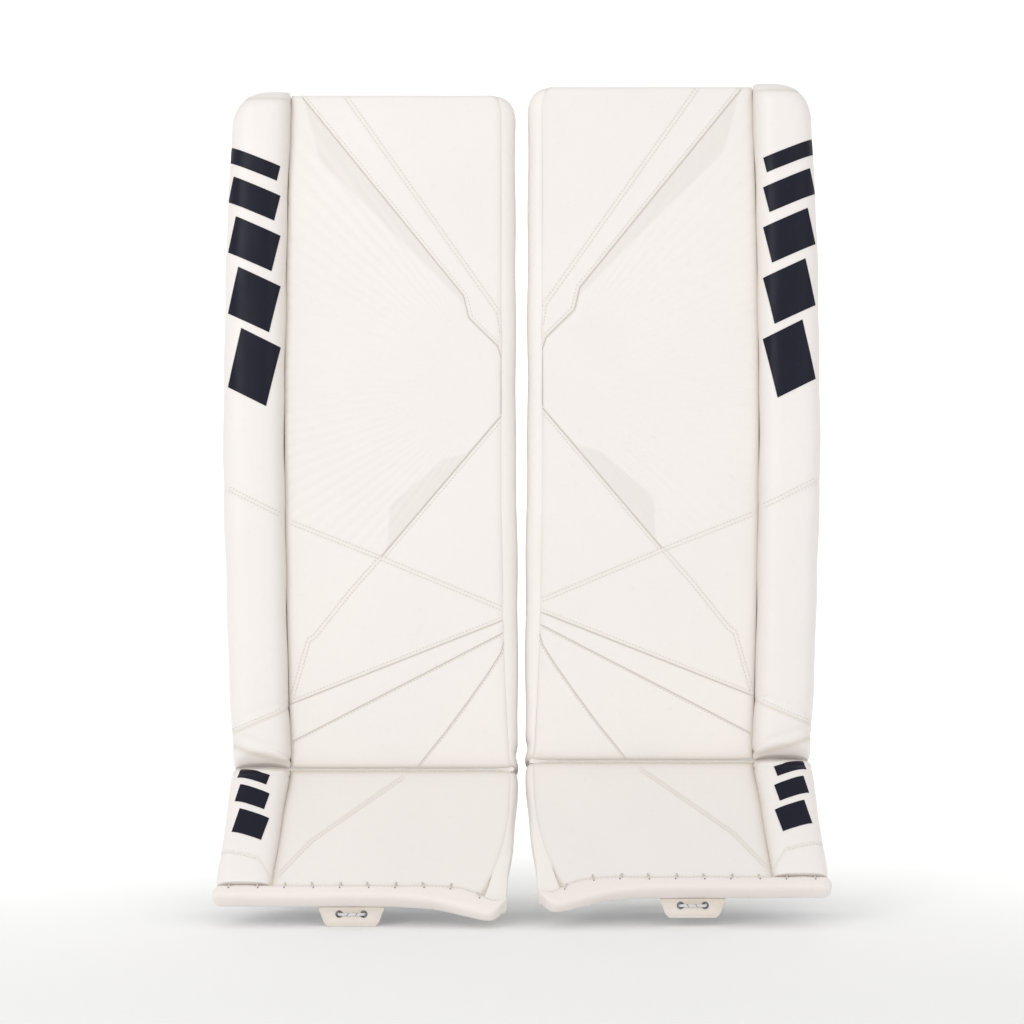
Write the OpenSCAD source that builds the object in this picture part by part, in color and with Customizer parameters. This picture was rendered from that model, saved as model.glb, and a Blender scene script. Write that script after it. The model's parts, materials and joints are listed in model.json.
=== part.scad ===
// Pair of ice-hockey goalie leg pads, standing as worn. Millimetres.
// +Z runs up the leg, the flat faces look towards -Y, and the wearer's right pad is at -X.
// One pad is described in its own frame: x = 0 at its middle with the outer side at -x,
// y = 0 on the flat face, z = 0 at the lowest point of the toe tab.
// The wearer's left pad is the mirror image of the right one.

/* [Pad] */
// Half the width of the pad, middle to outer or inner side
half_w = 139; // [134:1:144]
// Height of the top edge
top_z = 780; // [720:1:830]
// Depth of the foam body behind the face
body_t = 50; // [44:1:56]
// Half the width of the padded roll along the outer edge
roll_r = 29; // [27:1:30]
// How far the roll stands in front of the flat face
roll_proud = 20; // [16:1:22]
// Width of the padded wall along the inner edge
inner_wall_w = 12; // [10:1:14]

/* [Boot] */
// Height of the crease between shin and boot
break_z = 137; // [132:1:145]
// Forward tilt of the boot
boot_angle = 43; // [40:1:46]
// Length of the boot along its face, crease to toe
boot_l = 146; // [140:1:150]
// Thickness of the boot at the crease and at the toe
boot_t = 44; // [40:1:48]
toe_t = 14; // [12:1:16]
// Extra length of the inner toe corner
toe_drop = 18; // [12:1:20]
// Width of the binding that wraps the toe
binding_w = 12; // [10:1:14]

/* [Toe tab] */
// Thickness of the tab
tab_t = 3.6; // [3:0.2:4]
// Half widths of the tab at its top and bottom
tab_top = 31; // [28:1:34]
tab_bottom = 22; // [20:1:26]
// Distance between the two eyelets
eyelet_gap = 22.6; // [20:0.2:24]

/* [Leg channel] */
// Radius of the wings that wrap the calf and knee
wing_r = 92; // [88:1:94]
// Thickness of the wings
wing_t = 14; // [12:1:16]
// Width of the calf and knee straps
strap_w = 44; // [36:1:50]
// Thickness of the straps
strap_t = 3; // [2.6:0.2:3]

/* [Pair] */
// Distance between the middles of the two pads
pad_spacing = 291; // [286:1:300]
// How much higher the wearer's left pad stands
pad_stagger = 8; // [0:1:12]

/* [Hidden] */
PAD_NODES = [
    "shin_core", "stiffener_sheet", "face_cover", "outer_roll", "inner_side_wall", "outer_side_wall",
    "back_panel", "shin_cradle", "knee_block", "thigh_lining", "inner_calf_wedge", "shin_emblem",
    "strap_hardware", "boot_core", "boot_cover", "boot_roll", "boot_side_walls", "toe_binding",
    "binding_stitches", "boot_back_lining", "boot_emblem", "boot_ring", "toe_tab", "toe_eyelets",
    "toe_tie", "calf_wing", "knee_wing", "calf_strap", "knee_strap", "boot_strap"
];
$fn = 48;

// Moves the pair back so that its middle is over the origin
depth_shift = -52;
// Thin layers: cover, stiffener, back panel, and the gap between layers of one body
cover_t = 1.8;
sheet_t = 2;
panel_t = 3;
gap = 0.2;
core_y = cover_t + sheet_t + 2 * gap;
back_y = body_t + gap;
rear_y = back_y + panel_t + gap;
core_top = top_z - cover_t - gap;
core_in = half_w - inner_wall_w - 1;
roll_x = -half_w + roll_r + 1;
seam_x = roll_x + roll_r + 1;
roll_y = roll_r - roll_proud;
flange_y = 31;
flange_x = -half_w + 10;

// The crease: both parts end in a wedge that leaves room for the boot to flex
crease_gap = 1;
back_clear = 15;
front_clear = 30;
reach = 300;

// Leg channel: axis of the round wings and the angles where they start and end
wing_x = -30;
wing_y = 110;
wing_start = 118;
wing_end = 210;
calf_low = 190;
calf_high = 420;
knee_low = 455;
knee_high = 565;
wedge_x = 118;
wedge_low = 190;
wedge_high = 420;

// Boot outline
toe_out = 137;
toe_in = 130;
seam_s = boot_l - binding_w;
boot_seam_top = -75;
boot_seam_toe = -88;
boot_roll_proud = 19;
boot_roll_toe = 6;
binding_t = 2.4;

boot_roll_r = 28;
boot_toe_r = 23;
bar_slant = 20;
stitch_count = 10;
stitch_x = -124;
stitch_pitch = 25.5;

// Straps: where each starts on its wing, where it leaves the curve, and its straight length
strap_r = wing_r + wing_t + 0.6;
strap_seat = 0.05;
knee_start = 128;
calf_bend = 65;
calf_straight = 104;
calf_strap_z = 305;
knee_bend = 50;
knee_straight = 99;
knee_strap_z = 510;
boot_strap_z = -35;
boot_strap_w = 25;
boot_strap_r = 58;

// Toe tab
tab_x = -12;
tab_y = -86.6;
tab_z = 16;
hem_r = 2;
eyelet_z = 11.5;
eyelet_r = 3.4;
eyelet_hole_r = 2;
lace_r = 1.3;

// Sum of the first n heights
function stacked(heights, n) = n == 0 ? 0 : heights[n - 1] + stacked(heights, n - 1);

// Rear face of the calf wedge: just inside the straight part of the calf strap
function wedge_rear(x) = wing_y + (strap_r - 1 - (x - wing_x) * cos(calf_bend)) / sin(calf_bend);

// ---------- helpers ----------

// Profile in (y, z) pushed along x
module along_x(points, x0, x1) {
    translate([x0, 0, 0]) rotate([90, 0, 90]) linear_extrude(x1 - x0) polygon(points);
}

// Outline in (x, z) given a thickness from y0 to y1
module along_y(y0, y1) {
    translate([0, y1, 0]) rotate([90, 0, 0]) linear_extrude(y1 - y0) children();
}

// Rectangle from corner to corner with four round corners
module rounded(x0, z0, x1, z1, r) {
    translate([x0 + r, z0]) square([x1 - x0 - 2 * r, z1 - z0]);
    translate([x0, z0 + r]) square([x1 - x0, z1 - z0 - 2 * r]);
    for (x = [x0 + r, x1 - r]) for (z = [z0 + r, z1 - r]) translate([x, z]) circle(r);
}

// Keeps what is above the crease, with room for the flexing boot
module above_crease() {
    intersection() {
        children();
        along_x([
            [-reach, break_z + crease_gap + reach * tan(front_clear)],
            [0, break_z + crease_gap],
            [reach, break_z + crease_gap - reach * tan(back_clear)],
            [reach, 3 * reach],
            [-reach, 3 * reach]
        ], -reach, reach);
    }
}

// The same for the boot, in the boot's own frame
module below_crease() {
    intersection() {
        children();
        along_x([
            [-reach, -crease_gap - reach * tan(front_clear)],
            [0, -crease_gap],
            [reach, -crease_gap + reach * tan(back_clear)],
            [reach, -reach],
            [-reach, -reach]
        ], -reach, reach);
    }
}

// Stands the boot's own frame at the crease: y is depth behind the boot's face, -z runs to the toe
module on_boot() {
    translate([0, 0, break_z]) rotate([-boot_angle, 0, 0]) children();
}

// Part of a round shell about the wing axis, between two angles and two heights
module wing_arc(r, t, a0, a1, z0, z1) {
    translate([wing_x, wing_y, z0]) rotate([0, 0, a0])
        rotate_extrude(angle = a1 - a0) translate([r, 0]) square([t, z1 - z0]);
}

module right_pad() {
    translate([-pad_spacing / 2, depth_shift, 0]) children();
}

module left_pad() {
    translate([pad_spacing / 2, depth_shift, pad_stagger]) mirror([1, 0, 0]) children();
}

// ---------- shin: rigid body of the pad ----------

// Foam body, stepped at the outer edge to seat the roll
module shin_core() {
    color("ivory") above_crease() {
        along_y(core_y, body_t) rounded(seam_x, 0, core_in, core_top, 16);
        along_y(flange_y, body_t) rounded(flange_x, 0, seam_x + 40, core_top - 2, 14);
    }
}

// Plastic sheet that keeps the face flat
module stiffener_sheet() {
    color("lightgray") above_crease()
        along_y(cover_t + gap, cover_t + gap + sheet_t) rounded(seam_x + 4, 0, core_in - 4, core_top - 6, 14);
}

// Face skin, folded over the top edge
module face_cover() {
    color("white") above_crease() {
        along_y(0, cover_t) rounded(seam_x, 0, core_in + 0.5, top_z, 18);
        translate([seam_x + 18, 0, top_z - cover_t]) cube([core_in - seam_x - 36, body_t, cover_t]);
    }
}

// Stuffed roll along the outer edge, flat at the back
module outer_roll() {
    color("white") above_crease() intersection() {
        union() {
            translate([roll_x, roll_y, 0]) cylinder(h = top_z - 12, r = roll_r);
            translate([roll_x, roll_y, top_z - 12]) cylinder(h = 10, r1 = roll_r, r2 = roll_r - 8);
        }
        translate([-reach, -reach, 0]) cube([2 * reach, reach + flange_y - gap, 3 * reach]);
    }
}

// Padded wall along the inner edge, bevelled towards the face
module inner_side_wall() {
    wall = [
        [core_in + 0.7, 0.5], [core_in + 7, 6], [half_w + 0.5, 26],
        [half_w + 0.5, body_t], [core_in + 0.7, body_t]
    ];
    color("ivory") above_crease() intersection() {
        linear_extrude(top_z - 3) polygon(wall);
        along_y(0, reach) rounded(0, 0, half_w + 0.5, top_z - 3, 18);
    }
}

// Wall behind the roll
module outer_side_wall() {
    color("ivory") above_crease() intersection() {
        translate([-half_w + 1, flange_y, 0]) cube([flange_x + half_w - 1 - gap, body_t - flange_y, top_z - 6]);
        along_y(0, reach) rounded(-half_w + 1, 0, 0, top_z - 6, 16);
    }
}

// Backing that closes the body and carries the wings
module back_panel() {
    color("gainsboro") above_crease()
        along_y(back_y, back_y + panel_t) rounded(-half_w + 2, 0, half_w, core_top, 16);
}

// Channel for the shin: a pad with two raised edges
module shin_cradle() {
    cradle = [
        [-84, rear_y], [74, rear_y], [74, rear_y + 24], [62, rear_y + 24],
        [50, rear_y + 14], [-60, rear_y + 14], [-72, rear_y + 24], [-84, rear_y + 24]
    ];
    color("silver") translate([0, 0, 168]) linear_extrude(262) polygon(cradle);
}

// Block on the inner side that the knee lands on
module knee_block() {
    color("white") along_y(rear_y, rear_y + 70) rounded(20, 445, 118, 572, 10);
}

// Thin padding behind the thigh rise
module thigh_lining() {
    color("silver") along_y(rear_y, rear_y + 12) rounded(-96, 590, 96, 762, 14);
}

// Block that fills the inner side of the calf; its rear face follows the strap
module inner_calf_wedge() {
    wedge = [
        [84, rear_y], [wedge_x, rear_y], [wedge_x, wedge_rear(wedge_x)], [84, wedge_rear(84)]
    ];
    color("white") translate([0, 0, wedge_low]) linear_extrude(wedge_high - wedge_low) polygon(wedge);
}

// Slanted bars, each less tall than the one below, cut from the children
module slanted_bars(x, width, low, heights, space) {
    intersection() {
        children();
        for (i = [0 : len(heights) - 1]) translate([x, 0, low + stacked(heights, i) + i * space])
            rotate([0, bar_slant, 0]) translate([-width / 2, -reach, 0]) cube([width, reach, heights[i]]);
    }
}

// Slanted bars on the roll
module shin_emblem() {
    color("midnightblue") slanted_bars(roll_x, 50, 492, [56, 44, 34, 24, 14], 14)
        translate([roll_x, roll_y, 0]) difference() {
            cylinder(h = top_z, r = roll_r + 0.9);
            translate([0, 0, -1]) cylinder(h = top_z + 2, r = roll_r + 0.1);
        }
}

// Rivets that hold the wings, and the loops that take the strap ends
module strap_hardware() {
    color("dimgray") {
        for (z = [215, 305, 395, 475, 545]) translate([-112, back_y + panel_t + 0.1, z])
            rotate([-90, 0, 0]) cylinder(h = 2, r = 4);
        for (place = [[wedge_x + 0.2, 120, 305], [wedge_x + 0.2, 96, 508]])
            translate(place) rotate([90, 0, 90]) difference() {
                cylinder(h = 4, r = 14);
                translate([0, 0, -1]) cylinder(h = 6, r = 9);
            }
    }
}

// ---------- boot ----------

// Front outline of the boot from the crease to the toe, grown by g, in (x, z)
function boot_outline(g) = [
    [-half_w + 8 - g, 60], [-half_w + 8 - g, 0], [-toe_out - g, -seam_s],
    [-toe_out + 2 - g, -boot_l + 8 - g], [-toe_out + 9, -boot_l - g], [28, -boot_l - g],
    [64, -boot_l - 4 - g], [100, -boot_l - 15 - g], [112, -boot_l - toe_drop - g],
    [120, -boot_l - toe_drop + 2 - g], [toe_in - 2 + g, -boot_l - 4], [toe_in + g, -seam_s],
    [half_w + 1 + g, 0], [half_w + 1 + g, 60]
];

// Side view of the boot between two depths at the crease and two at the toe, in (y, z)
function boot_side(front_top, front_toe, back_top, back_toe) = [
    [front_top + 60 * (front_top - front_toe) / boot_l, 60], [front_toe, -boot_l],
    [front_toe, -2 * boot_l], [back_toe, -2 * boot_l], [back_toe, -boot_l],
    [back_top + 60 * (back_top - back_toe) / boot_l, 60]
];

// A layer of the boot between those depths, inside the outline grown by g
module boot_layer(front_top, front_toe, back_top, back_toe, g = 0) {
    below_crease() intersection() {
        along_y(-reach, reach) polygon(boot_outline(g));
        along_x(boot_side(front_top, front_toe, back_top, back_toe), -reach, reach);
    }
}

// The part of the boot on the roll's side of its seam, or on the other side
module roll_side(keep) {
    seam = [
        [-reach, 60], [boot_seam_top, 60], [boot_seam_top, 0],
        [boot_seam_toe, -seam_s], [boot_seam_toe, -2 * boot_l], [-reach, -2 * boot_l]
    ];
    if (keep) intersection() {
        children();
        along_y(-reach, reach) polygon(seam);
    }
    else difference() {
        children();
        along_y(-reach, reach) polygon(seam);
    }
}

// Inner faces of the boot's two padded side walls, moved inwards by g, in (x, z)
function wall_lines(g) = [
    [-half_w + 12 - g, 62], [-half_w + 12 - g, 0], [-toe_out + 3 - g, -seam_s],
    [-toe_out + 3 - g, -2 * boot_l], [toe_in - 3 + g, -2 * boot_l], [toe_in - 3 + g, -seam_s],
    [core_in + 2 + g, 0], [core_in + 2 + g, 62]
];

// Keeps what is between those walls
module inside_walls() {
    intersection() {
        children();
        along_y(-reach, reach) polygon(wall_lines(0));
    }
}

// Foam body of the boot, thinner behind its roll, ending inside the binding
module boot_core() {
    color("ivory") on_boot() inside_walls() {
        roll_side(false) boot_layer(cover_t + gap, cover_t + gap, boot_t, toe_t);
        roll_side(true) boot_layer(flange_y, toe_t - 5, boot_t, toe_t);
    }
}

// Front skin of the boot
module boot_cover() {
    color("white") on_boot() inside_walls() roll_side(false) boot_layer(0, 0, cover_t, cover_t);
}

// The boot's roll before it is trimmed: a cone that flattens and widens its seat towards the toe
module boot_roll_cone(grow = 0) {
    lean_x = atan((boot_seam_top - boot_seam_toe - boot_roll_r + boot_toe_r) / seam_s);
    lean_y = atan((boot_roll_proud - boot_roll_r + boot_toe_r - boot_roll_toe) / seam_s);
    translate([boot_seam_toe - boot_toe_r, boot_toe_r - boot_roll_toe, -seam_s])
        rotate([lean_y, lean_x, 0])
            cylinder(h = seam_s + 20, r1 = boot_toe_r + grow, r2 = boot_roll_r + grow);
}

// Roll of the boot, flatter towards the toe
module boot_roll() {
    seat = [
        [-reach, 60], [-reach, 1 - seam_s], [toe_t - 5.5, 1 - seam_s],
        [flange_y - 1, 0], [flange_y - 1, 60]
    ];
    color("white") on_boot() below_crease() intersection() {
        boot_roll_cone();
        along_x(seat, -reach, reach);
    }
}

// Padded walls on both sides of the boot
module boot_side_walls() {
    seat = [[-reach, 60], [-reach, -reach], [toe_t - 5, -reach], [toe_t - 5, -seam_s], [flange_y, 0], [flange_y, 60]];
    color("ivory") on_boot() difference() {
        boot_layer(0.5, 0.5, boot_t, toe_t);
        along_y(-reach, reach) polygon(wall_lines(0.2));
        translate([-reach, -reach, -seam_s - reach]) cube([2 * reach, 2 * reach, reach + 0.5]);
        along_x(seat, -reach, 0);
    }
}

// Binding folded round the toe, seated on the core
module toe_binding() {
    color("white") on_boot() difference() {
        intersection() {
            boot_layer(-binding_t, -binding_t, boot_t + binding_t, toe_t + binding_t, binding_t);
            translate([-reach, -reach, -seam_s - reach]) cube([2 * reach, 2 * reach, reach]);
        }
        boot_layer(-0.1, -0.1, boot_t + 0.1, toe_t + 0.1, 0.1);
    }
}

// Lace stitches along the edge of the binding; the last one follows the toe corner down
module binding_stitches() {
    color("dimgray") on_boot() for (i = [0 : stitch_count - 1])
        translate([stitch_x + i * stitch_pitch, -binding_t - 1.4, -seam_s - 6 - (i == stitch_count - 1 ? 8 : 0)])
            rotate([0, 15, 0]) cube([1.8, 1.3, 5]);
}

// Lining on the back of the boot, where it rests on the skate
module boot_back_lining() {
    color("silver") on_boot() inside_walls() intersection() {
        boot_layer(boot_t + gap, toe_t + gap, boot_t + panel_t, toe_t + panel_t);
        translate([-reach, -reach, 1 - seam_s]) cube([2 * reach, 2 * reach, 2 * reach]);
    }
}

// Slanted bars on the boot's roll
module boot_emblem() {
    color("midnightblue") on_boot() slanted_bars(boot_seam_toe - 20, 28, -86, [24, 17, 11], 9) difference() {
        boot_roll_cone(0.9);
        boot_roll_cone(0.1);
    }
}

// Two loops on the back of the boot that hold the boot strap
module boot_ring() {
    color("dimgray") on_boot() for (side = [-1, 1])
        translate([side * 65 - 9, boot_t - 1, boot_strap_z - 15]) difference() {
            cube([18, 3, 30]);
            translate([6, -1, 5]) cube([6, 5, 20]);
        }
}

// ---------- toe tab ----------

// Tab with a round hem on its hinge line and a hole for each eyelet
module toe_tab() {
    tab = [
        [-tab_top, tab_z], [-tab_bottom - 3, 2.5], [-tab_bottom, 0],
        [tab_bottom, 0], [tab_bottom + 3, 2.5], [tab_top, tab_z]
    ];
    color("linen") translate([tab_x, tab_y, 0]) difference() {
        union() {
            along_y(-tab_t / 2, tab_t / 2) polygon(tab);
            translate([-tab_top, 0, tab_z]) rotate([0, 90, 0]) cylinder(h = 2 * tab_top, r = hem_r);
        }
        for (side = [-1, 1]) translate([side * eyelet_gap / 2, -tab_t, eyelet_z])
            rotate([-90, 0, 0]) cylinder(h = 2 * tab_t, r = eyelet_hole_r + 0.8);
    }
}

// Metal eyelets with a flange on each face of the tab
module toe_eyelets() {
    barrel_r = eyelet_hole_r + 0.7;
    half = tab_t / 2;
    ring = [
        [eyelet_hole_r, -half - 0.7], [eyelet_r, -half - 0.7], [eyelet_r, -half - 0.1],
        [barrel_r, -half - 0.1], [barrel_r, half + 0.1], [eyelet_r, half + 0.1],
        [eyelet_r, half + 0.7], [eyelet_hole_r, half + 0.7]
    ];
    color("dimgray") for (side = [-1, 1]) translate([tab_x + side * eyelet_gap / 2, tab_y, eyelet_z])
        rotate([-90, 0, 0]) rotate_extrude() polygon(ring);
}

// Elastic tie: across the front, through both eyelets and round in a loop behind the tab
module toe_tie() {
    front_y = -tab_t / 2 - 0.8 - lace_r;
    rear = tab_t / 2 + 1;
    color("white") translate([tab_x, tab_y, eyelet_z]) {
        for (side = [-1, 1]) translate([side * eyelet_gap / 2, front_y, 0]) {
            sphere(lace_r);
            rotate([-90, 0, 0]) cylinder(h = rear - front_y, r = lace_r);
        }
        translate([-eyelet_gap / 2, front_y, 0]) rotate([0, 90, 0]) cylinder(h = eyelet_gap, r = lace_r);
        translate([0, rear, 0]) rotate_extrude(angle = 180) translate([eyelet_gap / 2, 0]) circle(lace_r);
    }
}

// ---------- leg channel: wings and straps ----------

// Wing that wraps the outside of the calf
module calf_wing() {
    color("white") wing_arc(wing_r, wing_t, wing_start, wing_end, calf_low, calf_high);
}

// Wing that wraps the outside of the knee
module knee_wing() {
    color("white") wing_arc(wing_r, wing_t, knee_start, wing_end, knee_low, knee_high);
}

// Strap that starts on a wing's rear edge, follows its curve and runs straight to the inner side
module channel_strap(start, bend, straight, z) {
    width = strap_w;
    translate([0, 0, z - width / 2]) {
        wing_arc(strap_r, strap_t, bend, start, 0, width);
        translate([wing_x, wing_y, 0]) rotate([0, 0, bend])
            translate([strap_r + strap_seat, -straight, 0])
                cube([strap_t - 2 * strap_seat, straight + 1, width]);
    }
}

module calf_strap() {
    color("whitesmoke") channel_strap(wing_start, calf_bend, calf_straight, calf_strap_z);
}

module knee_strap() {
    color("whitesmoke") channel_strap(knee_start, knee_bend, knee_straight, knee_strap_z);
}

// Strap that holds the skate boot, round the back of the ankle
module boot_strap() {
    color("whitesmoke") on_boot() translate([0, boot_t + 6, boot_strap_z - boot_strap_w / 2]) {
        rotate_extrude(angle = 180) translate([boot_strap_r, 0]) square([strap_t, boot_strap_w]);
        translate([-boot_strap_r - strap_t / 2, 0, 0]) cylinder(h = boot_strap_w, r = 2.2);
    }
}

// ---------- the pair ----------

right_pad() shin_core();  // right_shin_core
right_pad() stiffener_sheet();  // right_stiffener_sheet
right_pad() face_cover();  // right_face_cover
right_pad() outer_roll();  // right_outer_roll
right_pad() inner_side_wall();  // right_inner_side_wall
right_pad() outer_side_wall();  // right_outer_side_wall
right_pad() back_panel();  // right_back_panel
right_pad() shin_cradle();  // right_shin_cradle
right_pad() knee_block();  // right_knee_block
right_pad() thigh_lining();  // right_thigh_lining
right_pad() inner_calf_wedge();  // right_inner_calf_wedge
right_pad() shin_emblem();  // right_shin_emblem
right_pad() strap_hardware();  // right_strap_hardware
right_pad() boot_core();  // right_boot_core
right_pad() boot_cover();  // right_boot_cover
right_pad() boot_roll();  // right_boot_roll
right_pad() boot_side_walls();  // right_boot_side_walls
right_pad() toe_binding();  // right_toe_binding
right_pad() binding_stitches();  // right_binding_stitches
right_pad() boot_back_lining();  // right_boot_back_lining
right_pad() boot_emblem();  // right_boot_emblem
right_pad() boot_ring();  // right_boot_ring
right_pad() toe_tab();  // right_toe_tab
right_pad() toe_eyelets();  // right_toe_eyelets
right_pad() toe_tie();  // right_toe_tie
right_pad() calf_wing();  // right_calf_wing
right_pad() knee_wing();  // right_knee_wing
right_pad() calf_strap();  // right_calf_strap
right_pad() knee_strap();  // right_knee_strap
right_pad() boot_strap();  // right_boot_strap
left_pad() shin_core();  // left_shin_core
left_pad() stiffener_sheet();  // left_stiffener_sheet
left_pad() face_cover();  // left_face_cover
left_pad() outer_roll();  // left_outer_roll
left_pad() inner_side_wall();  // left_inner_side_wall
left_pad() outer_side_wall();  // left_outer_side_wall
left_pad() back_panel();  // left_back_panel
left_pad() shin_cradle();  // left_shin_cradle
left_pad() knee_block();  // left_knee_block
left_pad() thigh_lining();  // left_thigh_lining
left_pad() inner_calf_wedge();  // left_inner_calf_wedge
left_pad() shin_emblem();  // left_shin_emblem
left_pad() strap_hardware();  // left_strap_hardware
left_pad() boot_core();  // left_boot_core
left_pad() boot_cover();  // left_boot_cover
left_pad() boot_roll();  // left_boot_roll
left_pad() boot_side_walls();  // left_boot_side_walls
left_pad() toe_binding();  // left_toe_binding
left_pad() binding_stitches();  // left_binding_stitches
left_pad() boot_back_lining();  // left_boot_back_lining
left_pad() boot_emblem();  // left_boot_emblem
left_pad() boot_ring();  // left_boot_ring
left_pad() toe_tab();  // left_toe_tab
left_pad() toe_eyelets();  // left_toe_eyelets
left_pad() toe_tie();  // left_toe_tie
left_pad() calf_wing();  // left_calf_wing
left_pad() knee_wing();  // left_knee_wing
left_pad() calf_strap();  // left_calf_strap
left_pad() knee_strap();  // left_knee_strap
left_pad() boot_strap();  // left_boot_strap
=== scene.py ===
"""Looks for the pair of goalie leg pads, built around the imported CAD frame.

Every piece is made once, in millimetres in one pad's own frame (x = 0 at its middle with the outer side
at -x, y = 0 on the flat face and +y behind it, z = 0 at the lowest point of the toe tab), and is then
placed twice: as it is for the wearer's right pad, and mirrored for the left one.
"""

import json
import math

import bmesh
import bpy
import numpy as np
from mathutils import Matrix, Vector
from mathutils.bvhtree import BVHTree


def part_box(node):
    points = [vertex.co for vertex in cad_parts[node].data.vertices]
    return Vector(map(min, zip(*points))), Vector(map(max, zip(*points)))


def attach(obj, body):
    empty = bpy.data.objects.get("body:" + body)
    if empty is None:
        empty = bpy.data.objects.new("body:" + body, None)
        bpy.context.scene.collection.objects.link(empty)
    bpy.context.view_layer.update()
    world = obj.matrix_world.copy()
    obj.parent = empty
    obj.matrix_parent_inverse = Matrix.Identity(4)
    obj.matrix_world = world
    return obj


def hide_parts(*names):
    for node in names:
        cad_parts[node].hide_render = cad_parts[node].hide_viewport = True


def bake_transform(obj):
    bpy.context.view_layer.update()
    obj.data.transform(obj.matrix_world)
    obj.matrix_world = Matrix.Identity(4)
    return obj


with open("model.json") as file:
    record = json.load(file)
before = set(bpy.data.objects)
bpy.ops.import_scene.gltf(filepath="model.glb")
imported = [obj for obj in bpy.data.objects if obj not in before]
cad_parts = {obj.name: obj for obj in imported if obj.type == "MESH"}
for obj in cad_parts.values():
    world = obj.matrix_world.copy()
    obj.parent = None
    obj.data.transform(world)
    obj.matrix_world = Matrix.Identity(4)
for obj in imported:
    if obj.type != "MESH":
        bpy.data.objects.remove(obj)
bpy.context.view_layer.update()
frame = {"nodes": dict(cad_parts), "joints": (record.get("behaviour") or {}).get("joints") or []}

# ---------- where the pads are, from the frame ----------

JOINTS = {j["name"]: j for j in frame["joints"]}
FLEX = {side: JOINTS[f"{side}_boot_flex"]["pos_m"] for side in ("right", "left")}
LOW_Z = {side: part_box(f"{side}_toe_tab")[0][2] for side in ("right", "left")}
MIRROR = {"right": 1.0, "left": -1.0}

# ---------- one pad's sizes, in millimetres ----------

BREAK_Z = (FLEX["right"][2] - LOW_Z["right"]) * 1000
TOP_Z = 782.0
BOOT_TILT = math.radians(43)
BOOT_L = 146.0
SEAM_S = 134.0
BOOT_T = 44.0
TOE_T = 14.0
TOE_X = [-140, 28, 64, 100, 112, 121, 131]
TOE_S = [146, 146, 150, 161, 164.5, 163.5, 148]
SHIN_H = TOP_Z - BREAK_Z
WING_X, WING_Y, WING_R, WING_T = -30.0, 110.0, 92.0, 14.0
WING_END = 206.0


def smooth(a, b, x):
    """0 below a, 1 above b, and an even curve between them."""
    t = np.clip((x - a) / (b - a), 0, 1)
    return t * t * (3 - 2 * t)


def bump(x, width):
    return np.exp(-(x / width) ** 2)


def fade(x, reach):
    return np.exp(-x / reach)


def quarter(n):
    """Even steps round a quarter circle."""
    return np.linspace(0, np.pi / 2, n)


def xyz(x, y, z):
    """Points from coordinates that are arrays or single numbers."""
    return np.stack(np.broadcast_arrays(x, y, z), -1)


def masks(*crease_shades, **others):
    """Painted-shade masks for each point: where several crease shades meet, the strongest holds."""
    return {"crease": np.clip(np.maximum.reduce(crease_shades), 0, 1), **others}


def boot_to_pad(p):
    """From the boot's own (x, depth, length down the face) to the pad's (x, y, z)."""
    c, s = math.cos(BOOT_TILT), math.sin(BOOT_TILT)
    return xyz(p[..., 0], p[..., 1] * c - p[..., 2] * s, BREAK_Z - p[..., 1] * s - p[..., 2] * c)


def boot_way(p):
    """The same for a direction."""
    return boot_to_pad(np.asarray(p, float)) - boot_to_pad(np.zeros(3))


def boot_length(v):
    """How far down the boot the pad's points lie."""
    return -v[:, 1] * math.sin(BOOT_TILT) - (v[:, 2] - BREAK_Z) * math.cos(BOOT_TILT)


def place(points, side):
    """From one pad's millimetres to the frame's metres."""
    x0, y0, _ = FLEX[side]
    p = np.asarray(points, float) / 1000
    return xyz(x0 + MIRROR[side] * p[..., 0], y0 + p[..., 1], LOW_Z[side] + p[..., 2])


# ---------- outlines of the pad ----------

def shin_bow(z):
    return np.sin(np.pi * np.clip((z - BREAK_Z) / SHIN_H, 0, 1))


def roll_seam(z):
    return -(74.5 + 6.5 * shin_bow(z))


def roll_edge(z):
    return -(130.5 + 9.5 * shin_bow(z))


def top_corner(z):
    """0 below the rounded top corner, and nearly 1 at its top."""
    q = np.clip((z - 760) / 22, 0, 1)
    return 1 - np.sqrt(1 - 0.99 * q * q)


def inner_seam(z):
    return 127.0 + 8.0 * np.clip((400 - z) / 263, 0, 1) ** 2 - 12.0 * top_corner(z)


def inner_edge(z):
    return 139.3 + 2.5 * (1 - smooth(140, 600, z)) - 20.0 * top_corner(z)


def boot_roll_seam(s):
    return np.interp(s, [0, 12, 52, 125, 150], [-74.5, -75.5, -79.6, -84.0, -86.0])


def boot_roll_edge(s):
    return -(130.8 + 6.0 * np.clip(s / 125, 0, 1.2))


def boot_inner_seam(s):
    return 135.5 - 25.0 * np.clip(s / 138, 0, 1.2) ** 2.8


def boot_inner_edge(s):
    return 141.5 - 11.0 * np.clip(s / 138, 0, 1.2) ** 1.6


def boot_back(s):
    return BOOT_T + (TOE_T - BOOT_T) * s / BOOT_L


def toe_edge(x):
    """How far down the boot its toe reaches: level, then lower, up to a rounded inner corner."""
    around = [np.interp(x + d, TOE_X, TOE_S) for d in (-5, -2.5, 0, 2.5, 5)]
    return sum(around) / len(around)


def binding_seam(x):
    return np.interp(x, [-140, 70, 90, 104, 118], [135, 135, 137.5, 143, 151])


# ---------- meshes ----------

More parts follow.
